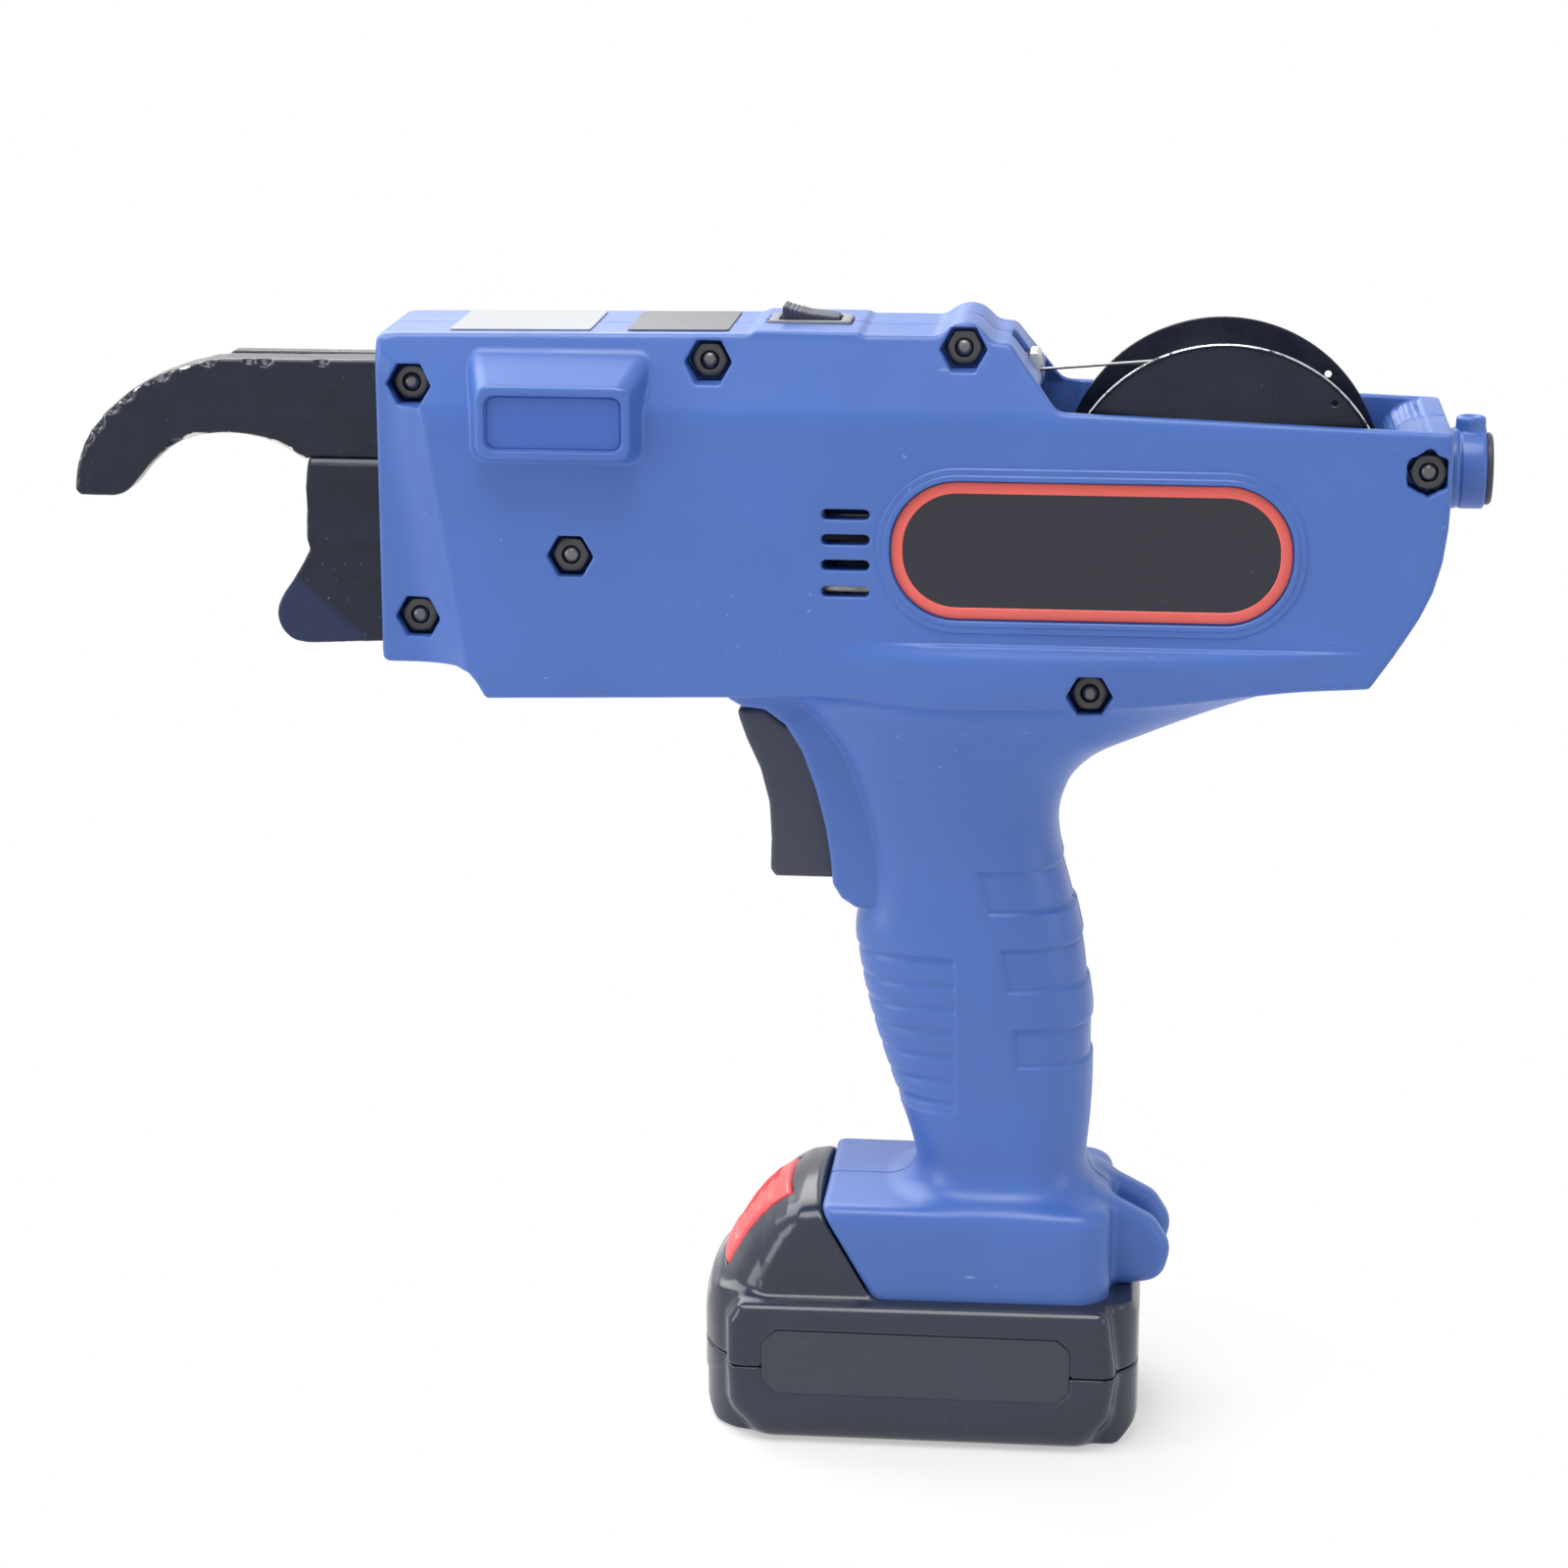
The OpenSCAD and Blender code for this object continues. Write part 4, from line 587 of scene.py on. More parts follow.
def body_outside(g):
    """The outside of both halves, taken on the left one."""
    x, y, z = g
    w = -y
    side = poly(x, z, BODY)
    s = near(x, 32, 60)
    side[s] = smin(side[s], np.hypot(x[s] - 45, z - 263.2) - 6, 2)
    f = smax(side, w - HALF_WIDTH, 1.5)
    f = smax(f, shoulder(w, z), 1.1 + 1.2 * unit((-84 - x) / 4))
    # Narrower nose
    s = near(x, -200, -56)
    foot = -67.6 - 0.1555 * (z - 181.5)
    ramp = (w - NOSE_HALF - (x[s] - foot + 6.5)) * 0.7071
    limit = smin(w - NOSE_HALF, ramp, 5)
    limit = smin(limit, 262.2 - z + 0 * x[s], 2.5)
    f[s] = smax(f[s], limit, 0.8)
    # Boss that narrows outwards, with a recess for its panel
    s = near(x, -80, -12)
    t = np.maximum((w - 22.5) / 11, -0.3)
    top, low = 260.6 - 5.2 * t, 236.9 + 2 * t
    boss = lozenge(x[s], z, -46.7, (top + low) / 2, 20.7 - 3.2 * t, (top - low) / 2, 3.4)
    boss = smax(smax(boss, w - 33.4, 0.9), 17 - w, 0.5)
    f[s] = smin(f[s], boss, 0.9)
    panel = lozenge(x[s], z, -46.6, 247.2, 15.6, 6.3, 2.4)
    f[s] = cut(f[s], both(panel, 32 - w), 0.35)
    # Pad under the switch
    pad = rounded([
        (-5, 263), (-4.2, 265.6, 0.6), (-2.2, 266.9, 0.8), (21.2, 266.7, 0.8), (23, 265.3, 0.6), (24, 263),
    ])
    s = near(x, -9, 28)
    f[s] = smin(f[s], smax(poly(x[s], z, pad), w - 18.6, 1), 0.6)
    # Handle, as sections of a rounded square, with its sunk pads, ribs and trigger guard
    s, gx, gz = window(g, -20, 150, 30, 197)
    front, rear, half = (eased(gz, GRIP[:, 0], GRIP[:, i]).astype(F) for i in (1, 2, 3))
    p = 2.7  # 2 would be an ellipse
    u, v = np.abs(gx - (front + rear) / 2) * 2 / (rear - front), np.abs(w) / half
    ball = (u**p + v**p) ** (1 / p)
    pull = np.hypot(u ** (p - 1) * 2 / (rear - front), v ** (p - 1) / half)
    pull = pull / np.maximum(ball, 0.05) ** (p - 1)
    grip = np.minimum((ball - 1) / np.maximum(pull, 0.02), 20)
    for a, b in PADS:
        area = [a, (130, a[1]), (130, b[1]), b]
        rim = poly(gx, gz, area)
        grip = press(press(grip, rim, 0.6, 0.4), np.abs(rim) - 0.45, 0.35, 0.4)
    area = poly(gx, gz, rounded([(-20, 119.2), (44.6, 119.2, 2), (45.2, 80, 2), (-20, 80)]))
    grip = press(grip, area, 0.35, 0.6)
    for rib in RIBS:
        line = np.abs(gz - rib) - 0.55 + np.maximum(gx - 44.2, 0)
        grip = press(grip, line, 0.5, 1.2)
    guard = smax(poly(gx, gz, GUARD), w - 12.9, 1.8)
    grip = smin(grip, guard, 0.5)
    f[s] = smin(f[s], smax(grip, gz - 191, 2), 6 + 5 * unit((gx - 18) / 22))
    # Base over the pack, and the ears behind it
    s, bx, bz = window(g, 0, 110, 30, 84)
    base = smax(lozenge(bx, w, 11.25, -17, 71.25, 43, 8), bz - 58.7, 4.5)
    front = ((12.2 - bx) * 24.7 - (bz - 60) * 14.2) / 28.49
    base = smax(base, front, 2.4)
    base = smax(base, 35.3 - bz, 0.9)
    f[s] = smin(f[s], base, 9)
    ear = [(78, 60), (84, 57.4, 3), (92.8, 52.8, 7), (97, 46.2, 7), (95, 37.6, 9), (85, 36), (78, 35.6)]
    lug = smax(poly(bx, bz, rounded(ear, 8)), np.abs(w - 8.75) - 3.75, 3.4)
    f[s] = smin(f[s], lug, 2)
    return f


def body_inside(g, f):
    """Cavity, reel bay, openings and recesses that both halves share."""
    x, y, z = g
    w = -y
    ring = lozenge(x, z, 74.6, 218.6, 45.9, 16.4, 15.6)
    f = np.where((w > 20) & (ring < 1), press(f, ring, 1.1, 0.5), f)
    for at in VENTS:
        s = (near(x, 10, 28), near(y, -30, -20), near(z, at - 4, at + 4))
        slot = lozenge(x[s[0]], z[:, :, s[2]], 19.05, at, 5.5, 1.2, 1.19) + 0 * y[:, s[1]]
        f[s] = cut(f[s], slot, 0.5)
    room = f + 3
    cavity = both(room, w - ROOM_HALF, x - 63, 184.5 - z)
    s = near(x, 60, 160)
    outline = poly(x[s], z, [(60, 300), (60, 188.9), (137, 191.5), (151.5, 216), (151.5, 300)])
    rear = np.hypot(x[s] - NUTS[REAR_NUT][0], z - NUTS[REAR_NUT][1]) - 8.2
    spindle = both(np.hypot(x[s] - REEL[0], z - REEL[1]) - 7, 22.3 - w)
    bay = both(w - ROOM_HALF, 66 - x[s], x[s] - 149.6, room[s] * (z < 215), outline, -rear, -spindle)
    handle = both(f + 2.8, z - 188, 56 - z)
    neck = both(np.abs(z - 184) - 5, w - 16, 34 - x, x - 60)
    f = cut(f, cavity, 0.3)
    f[s] = cut(f[s], bay, 0.5)
    f = cut(f, handle, 0.3)
    f = cut(f, both(neck, 0), 0.3)
    # Nose opening
    s = near(x, -95, -60)
    f[s] = cut(f[s], box(x[s], w, z, (-99, -99, 190.7), (-62, 14.5, 257.3)), 0.6)
    # Room for the trigger's travel
    s, ix, iz = window(g, -12, 34, 130, 180)
    f[s] = cut(f[s], box(ix, w, iz, (-30, -99, 133.6), (31.5, 9.4, 173.4)), 0.6)
    f[s] = cut(f[s], box(ix, w, iz, (-30, -99, 170), (13, 9.4, 177.9)), 0.5)
    # Rails for the pack, switch opening and dial's neck
    s, ix, iz = window(g, 5, 84, 30, 56)
    rail = box(ix, w, iz, (-30, -99, 42.7), (79.5, 20.4, 52.7))
    rail = np.minimum(rail, box(ix, w, iz, (-30, -99, 30), (79.5, 17.4, 43)))
    f[s] = cut(f[s], rail, 0.5)
    s, ix, iz = window(g, -6, 24, 250, 272)
    f[s] = cut(f[s], box(ix, w, iz, (-0.8, -99, 240), (18.5, 6.4, 290)), 0.3)
    s, ix, iz = window(g, 144, 160, 215, 256)
    f[s] = cut(f[s], np.hypot(w, iz - DIAL_Z) - 4.3 + 0 * ix, 0.4)
    # Wire inlet and the mouth between it and the bay
    s, ix, iz = window(g, 52, 72, 230, 272)
    f[s] = cut(f[s], box(ix, w, iz, (55.2, -99, INLET - 5.4), (75, 5.2, 290)), 0.4)
    mouth = both(shoulder(w, iz) + 2.2, w - ROOM_HALF, 62.2 - ix, ix - 70, 236 - iz)
    f[s] = cut(f[s], mouth, 0.5)
    return f


def sockets(g, f, shell, hexes):
    """Recesses for the nuts of the left half or the screw heads of the right one."""
    y = g[1]
    for i, (px, pz) in enumerate(NUTS):
        s, u, v = window(g, px - 9, px + 9, pz - 9, pz + 9)
        u, v, face = u - px, v - pz, POCKETS[i]
        if not hexes:
            hole = np.hypot(u, v) - 4.7
        elif i == REAR_NUT:
            hole = hexagon(v, u, 9.6)
            hole = np.maximum(hole + 0.22 * wobble(u, 0, v, 2.2, 5), u - 4.2)
        else:
            hole = hexagon(u, v, 9.4)
        if i != REAR_NUT:
            foot = face - 7.5 if i in NOSE_NUTS else face - 13
            collar = smax(np.hypot(u, v) - 7.2, foot + y, 0.5)
            f[s] = np.minimum(f[s], both(collar, shell[s] + 1.5))
        f[s] = cut(f[s], both(hole, face - 5.9 + y), 0.35)
        f[s] = cut(f[s], np.hypot(u, v) - 2.3 + 0 * y, 0.2)
    return f


half_grid = grid(-91.2, 156.6, -34.8, 0.9, 33.6, 271.8, 0.5)
shell = body_outside(half_grid)
outside = body_inside(half_grid, shell.copy())
seam = half_grid[1] + 0.07
for label, hexes in (("left", True), ("right", False)):
    f = sockets(half_grid, outside.copy(), shell, hexes)
    f = smax(f, seam, 0.5)
    item = skin(label + "_half", half_grid, f, BLUE, 0.16, flip=label == "right")
    hand_over(item, "housing", "body_blue", label + "_housing")
del outside, shell, f

# Battery pack, in side outlines
FRONT = [
    (-15.5, 26), (-15.1, 30), (-13.9, 34.2), (-11.7, 39), (-9.1, 44), (-6.2, 48.8), (-3.2, 52.6),
    (-0.2, 55.4), (4.2, 57.9), (8.4, 59.1),
]
HUMP = [(-15.5, 12), *FRONT, (13, 59.8), (40, 62.6), (40, 12)]
CORE = rounded([
    (-12.5, 0.3, 2), (-15.5, 4, 3), *FRONT[:3], (-11.5, 36), (88, 36.4, 3), (90, 33, 3), (90, 5, 4),
    (85, 0.3, 3),
])
CHEEK = rounded([
    (-1.5, 0.1, 9), (-8.6, 8, 8), (-8.6, 31, 3), (-6, 35.4, 3), (82.6, 36.2, 3), (84.8, 19), (83.6, 8, 7),
    (78, 0.2, 7),
])
LABEL = rounded([
    (3.6, 13, 1.5), (0.1, 16.4, 1.5), (0.1, 25.8, 1.5), (3.6, 29, 2), (70.6, 29, 3), (73.6, 26, 1.5),
    (73.4, 15.6, 1.5), (70.4, 13, 1.5),
])
# The release button's middle and the slope it lies on
SLOPE = math.radians(59.51)
BUTTON = (-5.8, 48.7)


def crown(x, y):
    """How far the hump falls away from its middle, less so towards the handle's base."""
    return y * y * (1 / 90 - (1 / 90 - 1 / 220) * unit((x + 1) / 9))


def along_slope(x, z):
    """Places along the button's slope and out of it."""
    u, v = x - BUTTON[0], z - BUTTON[1]
    c, s = math.cos(SLOPE), math.sin(SLOPE)
    return u * c + v * s, v * c - u * s


g = x, y, z = grid(-17, 91.5, -32.4, 32.4, -1.2, 65.2, 0.55)
w = np.abs(y)
core = smax(poly(x, z, CORE), w - 27, 4)
core = smax(core, smax(smax(-15.6 - x, w - 27.1, 22), x - 90.1, 14), 1)
hump = smax(poly(x, z, HUMP) + crown(x, y), w - 25.4, 8)
hump = smax(hump, ((x - 11.8) * 24.7 + (z - 60) * 14.2) / 28.49, 0.8)
hump = smax(hump, x - 60 + 0 * z, 0.5)
cheek = smax(poly(x, z, CHEEK), w - 31, np.clip(8 - z / 5, 4.2, 7))
pack = smin(smin(core, hump, 3), cheek, 1.6)
pack = np.where(w > 24, press(pack, poly(x, z, LABEL) - 0.5, 0.6, 0.5), pack)
hollow = pack + 2.6
rails = box(x, w, z, (11, -9, 43.1), (66.8, 20, 52.3), 0.6)
rails = np.minimum(box(x, w, z, (11, -9, 30), (66.8, 17, 44)), rails)
pack = smin(pack, rails, 0.4)
pack = cut(pack, both(hollow, z - 32.4), 0.3)
s_at, n_at = along_slope(x, z)
well = -7.4 - n_at - 4 * unit(np.abs(s_at) - 9)
pack = cut(pack, both(np.abs(s_at - 0.8) - 12.3, w - 12.65, well), 0.5)
pack = cut(pack, box(x, w, z, (56, -9, 44.3), (80, 10.2, 50.6)), 0.3)
upper = smax(pack, 19.6 - z, 0.6)
lower = smax(smax(pack, z - 19.4, 0.6), 0.02 - z, 0.4)
for name, f, node in (("battery_upper", upper, "battery_top"), ("battery_lower", lower, "battery_bottom")):
    hand_over(skin(name, g, f, BATTERY, 0.22), "battery", "battery_black", node)

g = x, y, z = grid(-16, 7, -13.4, 13.4, 33, 63, 0.35)
s_at, n_at = along_slope(x, z)
dish = lozenge(s_at, y, 1.9, 0, 7.7, 9.6, 1.4)
rib = 0.5 * np.cos((s_at - 1.9) * (2 * math.pi / 3.9)) * unit(-dish * 2)
key = press(poly(x, z, HUMP) + crown(x, y) - 0.2, dish, 1.4, 0.7) - rib
key = smax(key, np.abs(s_at - 0.8) - 12.05, 0.9)
key = smax(key, np.abs(y) - 12.35, 0.9)
key = smax(key, -4.4 - n_at - 3 * unit(np.abs(s_at) - 9.5), 0.6)
hand_over(skin("release_key", g, key, RED, 0.8), "button", "red_plastic", "release_button")

# Trigger
TRIGGER = rounded([
    (-8.4, 176.6, 2), (-5.7, 168.9), (-2.4, 161.6), (-0.3, 153.4), (0.2, 144.9), (0, 137, 1), (1.2, 135.3, 1),
    (24, 135.3, 1), (24, 172.9, 1), (4, 173), (-1, 176.6, 1),
])
TRIGGER_MID = 153.5
g = x, y, z = grid(-10, 41.6, -10.2, 10.2, 132.6, 178.2, 0.6)
f = smax(poly(x, z, TRIGGER), np.abs(y) - 8.9, 2.2)
f = press(f, lozenge(y, z, 0, TRIGGER_MID, 6.2, 15.5, 4) + F(30) * (x > 10), 0.35, 1.5)
f = smin(f, both(np.hypot(y, z - TRIGGER_MID) - 3, 20 - x, x - 40), 0.6)
hand_over(skin("trigger_lever", g, f, BLACK, 0.3), "trigger_body", "black_plastic", "trigger")

# Hook and jaw
HOOK_BACK = [
    (-128, 256.7), (-133.2, 255.9), (-140.8, 253.7), (-147.4, 250.7), (-152.4, 247.4), (-157.2, 243.1),
    (-160.6, 238.9), (-162.9, 234.4), (-164.3, 229.6), (-164.8, 225),
]
HOOK_THROAT = [
    (-155.6, 223.7), (-153.4, 224.3), (-151.4, 225.7), (-148.9, 228.6), (-145.4, 232.4), (-140.4, 236.2),
    (-134.2, 238.5), (-127.4, 239.2), (-120.6, 238.4), (-114.6, 236.2), (-110.2, 233.4),
]
HOOK_LINE = [(-76, 257), *flowing(HOOK_BACK), (-163.6, 223.8), *flowing(HOOK_THROAT), (-76, 233.3)]
# Knocks along the hook's front upper edge: place, direction out of the outline, radius, depth
DENTS = [
    (-104.6, 256.8, 0, 1, 2.2, 1.5), (-118.2, 256.7, 0, 1, 2.6, 1.7), (-121.8, 256.7, 0, 1, 1.8, 1.2),
    (-131.4, 256.2, -0.13, 0.99, 2.4, 1.4), (-142.6, 253, -0.39, 0.92, 2.2, 1.7),
    (-146, 251.4, -0.39, 0.92, 1.6, 1.1), (-151.6, 248, -0.6, 0.8, 2.8, 1.8),
    (-155.2, 245, -0.66, 0.75, 2.4, 1.7), (-158.8, 241.3, -0.78, 0.62, 2.6, 1.9),
    (-161.4, 237.6, -0.9, 0.43, 2, 1.3),
]
# Half the hook's thickness, its middle and its left face, along y
HOOK_HALF, HOOK_MID, HOOK_FACE = 5.45, -1.5, -6.95
g = x, y, z = grid(-166.4, -74.8, -8.4, 5.6, 222.2, 258.4, 0.55)
line = poly(x, z, HOOK_LINE)
sides = np.abs(y - HOOK_MID) - HOOK_HALF
rim = unit(1 + smax(line, sides, 2) / 3) * unit(1 - np.abs(line - sides) / 4)
outer = unit((-128 - x) / 12) * unit((z - 226) / 8)
f = smax(line, sides, 1.4)
for ex, ez, nx, nz, r, bite in DENTS:
    reach = (r - bite) * 0.7071
    mx, my, mz = ex + nx * reach, HOOK_FACE - reach, ez + nz * reach
    f = cut(f, np.sqrt((x - mx) ** 2 + (y - my) ** 2 + (z - mz) ** 2) - r, 0.5)
chipped = np.maximum(wobble(x, y, z, 4.5, 3) + 0.3 * wobble(x, y, z, 1.8, 4), 0)
f = f + rim * (0.05 + outer * 0.35) * chipped
hook = hand_over(skin("hook_arm", g, f, HOOK), "housing", "black_metal", "hook")


def hook_wear_and_reflection(p):
    """Bare metal along the hook's edges from worn paint, most on its back; at the knocks chipped paint that is
    partly a painted glint, and in its throat a painted reflection of the floor.
    """
    x, y, z = p.T
    inset = -poly(x, z, HOOK_LINE)
    edge = np.maximum(inset, HOOK_HALF - np.abs(y - HOOK_MID))
    outer = unit((-126 - x) / 12) * unit((z - 228) / 8)
    # Painted reflection: the bright band along the throat's inner chamfer, where it mirrors the floor
    throat_reflection = unit((241 - z) / 3) * unit((x + 139) / 4) * (x < -109) * (y < 0)
    # Chipped paint at the knocks, partly a painted glint
    knock = 0
    for ex, ez, _, _, r, _ in DENTS:
        gap = np.sqrt((x - ex) ** 2 + (y - HOOK_FACE) ** 2 + (z - ez) ** 2)
        knock = np.maximum(knock, unit(1.5 - gap / (r * 0.8)))
    reach = 0.7 + 1.5 * outer + 1.3 * throat_reflection
    worn = unit(1 - edge / reach) * (0.4 + 0.45 * outer + 0.6 * throat_reflection)
    return np.maximum(worn, knock * 0.48)


mark_points(hook, hook_wear_and_reflection)

GUIDE = rounded([
    (-76, 257.1), (-128.5, 257.1, 2), (-131, 252), (-129.5, 246), (-124, 241.2, 3), (-117, 239.3, 3),
    (-76, 239.3),
])
g = x, y, z = grid(-132.4, -74.8, 2.8, 10.2, 238, 258.4, 0.5)
line = poly(x, z, GUIDE)
f = smax(line, np.abs(y - 6.37) - 2.3, 0.9)
guide = hand_over(skin("guide_plate", g, f, HOOK), "housing", "black_metal", "hook_plate")
mark_points(guide, lambda p: unit(1 + poly(p[:, 0], p[:, 2], GUIDE) / 0.9) * 0.46)

JAW_TIP = [
    (-109.2, 210.1), (-111.9, 205.6), (-114.4, 201.8), (-115.4, 198), (-114.4, 194.4), (-111.9, 191.9),
    (-108.6, 191.1),
]
JAW = rounded([
    (-75.3, 233.9), (-108.4, 233.9, 0.8), (-109.1, 227.1), (-108.9, 220.8), (-108.5, 215.9),
    (-107.8, 212.9, 0.6), *flowing(JAW_TIP), (-75.3, 191.6),
])
# Heights, and how far the sheet is bent inwards there
JAW_HEIGHTS = (190, 211, 212.8, 213.4, 215.4, 221.6, 222.2, 232, 233.8)
JAW_BENDS = (0, 0, 0.6, 0.6, 0.3, 3.6, 3.75, 3.75, 5)


def chin(x, z):
    """Distance from the fold of the jaw's chin, negative towards its tip."""
    return ((x + 93.5) * 13.9 + (z - 192.7) * 16.4) / 21.5


def jaw_wear(p):
    """Bare metal along the jaw's front edge, most at the chin."""
    x, _, z = p.T
    return unit(1 + poly(x, z, JAW) / 1.1) * (x < -90) * (0.45 + F(0.21) * (z < 203))


# Painted reflection: a lighter blue tint on the chin's facet past the fold, where the flared sheet faces up
# and out
def jaw_reflection(p):
    x, _, z = p.T
    return unit(-chin(x, z) / 2) * (z < 210) * 0.6


g = x, y, z = grid(-116.8, -74, -16, 0.6, 189.8, 235.2, 0.45)
line = poly(x, z, JAW)
bend = np.interp(z, JAW_HEIGHTS, JAW_BENDS).astype(F)
flare = np.clip(-chin(x, z) * 0.21, 0, 1.9) * unit((212 - z) / 3)
sheet = -y - 12.5 + bend - flare
thick = np.interp(z, (190, 213, 223, 235), (2.4, 2.4, 1.3, 1.3)).astype(F)
f = smax(smax(line, sheet, 0.8), -sheet - thick, 0.5)
from_bolt = np.hypot(x - NUTS[1][0], z - NUTS[1][1])
f = smin(f, smax(from_bolt - 4.6, -y - 12.3, 0.4), 0.6)
f = cut(f, from_bolt - 2.2 + 0 * y, 0.3)
f = smax(f, y - 0.02, 0.1)
left = skin("jaw_left", g, f, HOOK)
right = skin("jaw_right", g, f, HOOK, flip=True)
for item in (left, right):
    mark_points(item, jaw_wear)
    mark_points(item, jaw_reflection, "blued")
    hand_over(item, "housing", "black_metal")
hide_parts("lower_jaw")


# Turned and swept pieces
def sweep(name, rings, material, caps=True, angle=35.0):
    """Triangles between closed rings of points, with ends closed by fans, turned to face outwards."""
    count = len(rings[0])
    points = [p for ring in rings for p in ring]
    faces = []
    for i in range(len(rings) - 1):
        for j in range(count):
            k = (j + 1) % count
            a, b = i * count, (i + 1) * count
            faces += [(a + j, a + k, b + k), (a + j, b + k, b + j)]
    if caps:
        for at, ring, turn in ((0, rings[0], -1), ((len(rings) - 1) * count, rings[-1], 1)):
            points.append(np.mean(np.asarray(ring), 0))
            mid = len(points) - 1
            faces += [(mid, at + j, at + (j + 1) % count)[::turn] for j in range(count)]
    points, faces = np.array(points, F), np.array(faces)
    a, b, c = (points[faces[:, i]] - points[0] for i in range(3))
    if (a * np.cross(b, c)).sum() < 0:
        faces = faces[:, ::-1]
    item = put(name, points, faces, material)
    item.data.set_sharp_from_angle(angle=math.radians(angle))
    return item


def turned(name, centre, axis, profile, material, count):
    """Turns a closed profile of (radius, place along the axis) about a line along x or y."""
    a = np.linspace(0, 2 * math.pi, count, endpoint=False)
    rings = []
    for r, t in list(profile) + [profile[0]]:
        u, v, along = r * np.cos(a), r * np.sin(a), np.full(count, t)
        rings.append(np.stack([along, u, v] if axis == "x" else [u, -along, v], 1) + np.asarray(centre))
    return sweep(name, rings, material, False)


def tube(name, path, radius, material, sides=8):
    """A round wire along a path."""
    path = np.asarray(path, float)
    ahead = np.gradient(path, axis=0)
    ahead /= np.linalg.norm(ahead, axis=1, keepdims=True)
    side = np.cross(ahead, (0.13, 0.97, 0.2))
    side /= np.linalg.norm(side, axis=1, keepdims=True)
    up = np.cross(side, ahead)
    a = np.linspace(0, 2 * math.pi, sides, endpoint=False)
    rings = []
    for p, s, u in zip(path, side, up):
        rings.append(p + radius * (np.outer(np.cos(a), s) + np.outer(np.sin(a), u)))
    return sweep(name, rings, material, True, 60)


def circle(turns):
    """Cosine and sine of an angle given in turns."""
    return np.cos(turns * 2 * math.pi), np.sin(turns * 2 * math.pi)


# Reel and its wire
profile = [
    (4.3, 21.4), (13.2, 21.4), (13.8, 21.9), (19.4, 21.9), (20, 21.5), (36.4, 21.5), (36.7, 21.9),
    (37.1, 21.9), (37.3, 21.7), (37.3, 21), (37.1, 20.75), (36.4, 20.7), (16, 20.4),
]
profile += [(r, -t) for r, t in profile[::-1]]
spool = turned("reel_spool", (REEL[0], 0, REEL[1]), "y", profile, SPOOL, 128)
# The hole that takes the wire's end, up and back from the axle
TIE_HOLE = 34.3 * 0.7071
profile = [(0.01, 26), (0.85, 26), (0.85, -26), (0.01, -26)]
drill = turned("drill", (REEL[0] + TIE_HOLE, 0, REEL[1] + TIE_HOLE), "y", profile, None, 20)
bore = spool.modifiers.new("bore", "BOOLEAN")
bore.operation, bore.object, bore.solver = "DIFFERENCE", drill, "EXACT"
bored = settled(spool)
spool.modifiers.clear()
spool.data = bored
bpy.data.objects.remove(drill)
bored.set_sharp_from_angle(angle=math.radians(35))


def spool_rim_highlight(p):
    """Painted highlight: bare metal along the outer rims of the flanges, standing in for their bright edge
    line.
    """
    return (np.hypot(p[:, 0] - REEL[0], p[:, 2] - REEL[1]) > 37) * (np.abs(p[:, 1]) > 21.6) * 0.7


mark_points(spool, spool_rim_highlight)
hand_over(spool, "reel_body", "black_plastic", "reel")
WIRE_R = 0.4
turns, pitch, layer = 46, 0.812, 30.1
t = np.linspace(0, turns, turns * 64)
across, up = circle(t)
coil = np.stack([REEL[0] + layer * up, (t - turns / 2) * pitch, REEL[1] + layer * across], 1)
item = tube("reel_winding", coil, WIRE_R, WIRE, 5)
hand_over(item, "reel_body", "wire_steel", "winding_wire", "winding_core")

# The wire's free run leaves the winding in a last part turn
low, high = (np.array(v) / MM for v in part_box("tie_wire"))
leave = np.array([high[0], 0, high[2] - WIRE_R])
reach = np.hypot(leave[0] - REEL[0], leave[2] - REEL[1])
angle = math.atan2(leave[2] - REEL[1], leave[0] - REEL[0])
path = [(low[0], 0, low[2] + WIRE_R), leave]
for t in np.linspace(0.05, 1, 24):
    r, a = reach - 0.9 * t**4, angle - math.radians(75) * t
    path.append((REEL[0] + r * math.cos(a), 0.3 * t, REEL[1] + r * math.sin(a)))
hand_over(tube("wire_lead", path, WIRE_R, WIRE), "housing", "wire_steel", "tie_wire")

# Springs
COILS = 4
t = np.linspace(0, COILS, 97)
across, up = circle(t)
radius, wire, start, length = 4.2, 0.4, 24.87, 5.09
along = start + wire + t / COILS * (length - 2 * wire)
coil = np.stack([along, radius * across, TRIGGER_MID + radius * up], 1)
hand_over(tube("trigger_coil", coil, wire, STEEL), "housing", "steel", "trigger_spring")
radius, wire, start, length = 3.0, 0.2, -6.65, 1.9
along, out = radius * across, start + t / COILS * length
coil = np.stack([
    BUTTON[0] + along * math.cos(SLOPE) - out * math.sin(SLOPE),
    radius * up,
    BUTTON[1] + along * math.sin(SLOPE) + out * math.cos(SLOPE),
], 1)
hand_over(tube("button_coil", coil, wire, STEEL), "battery", "steel", "button_spring")

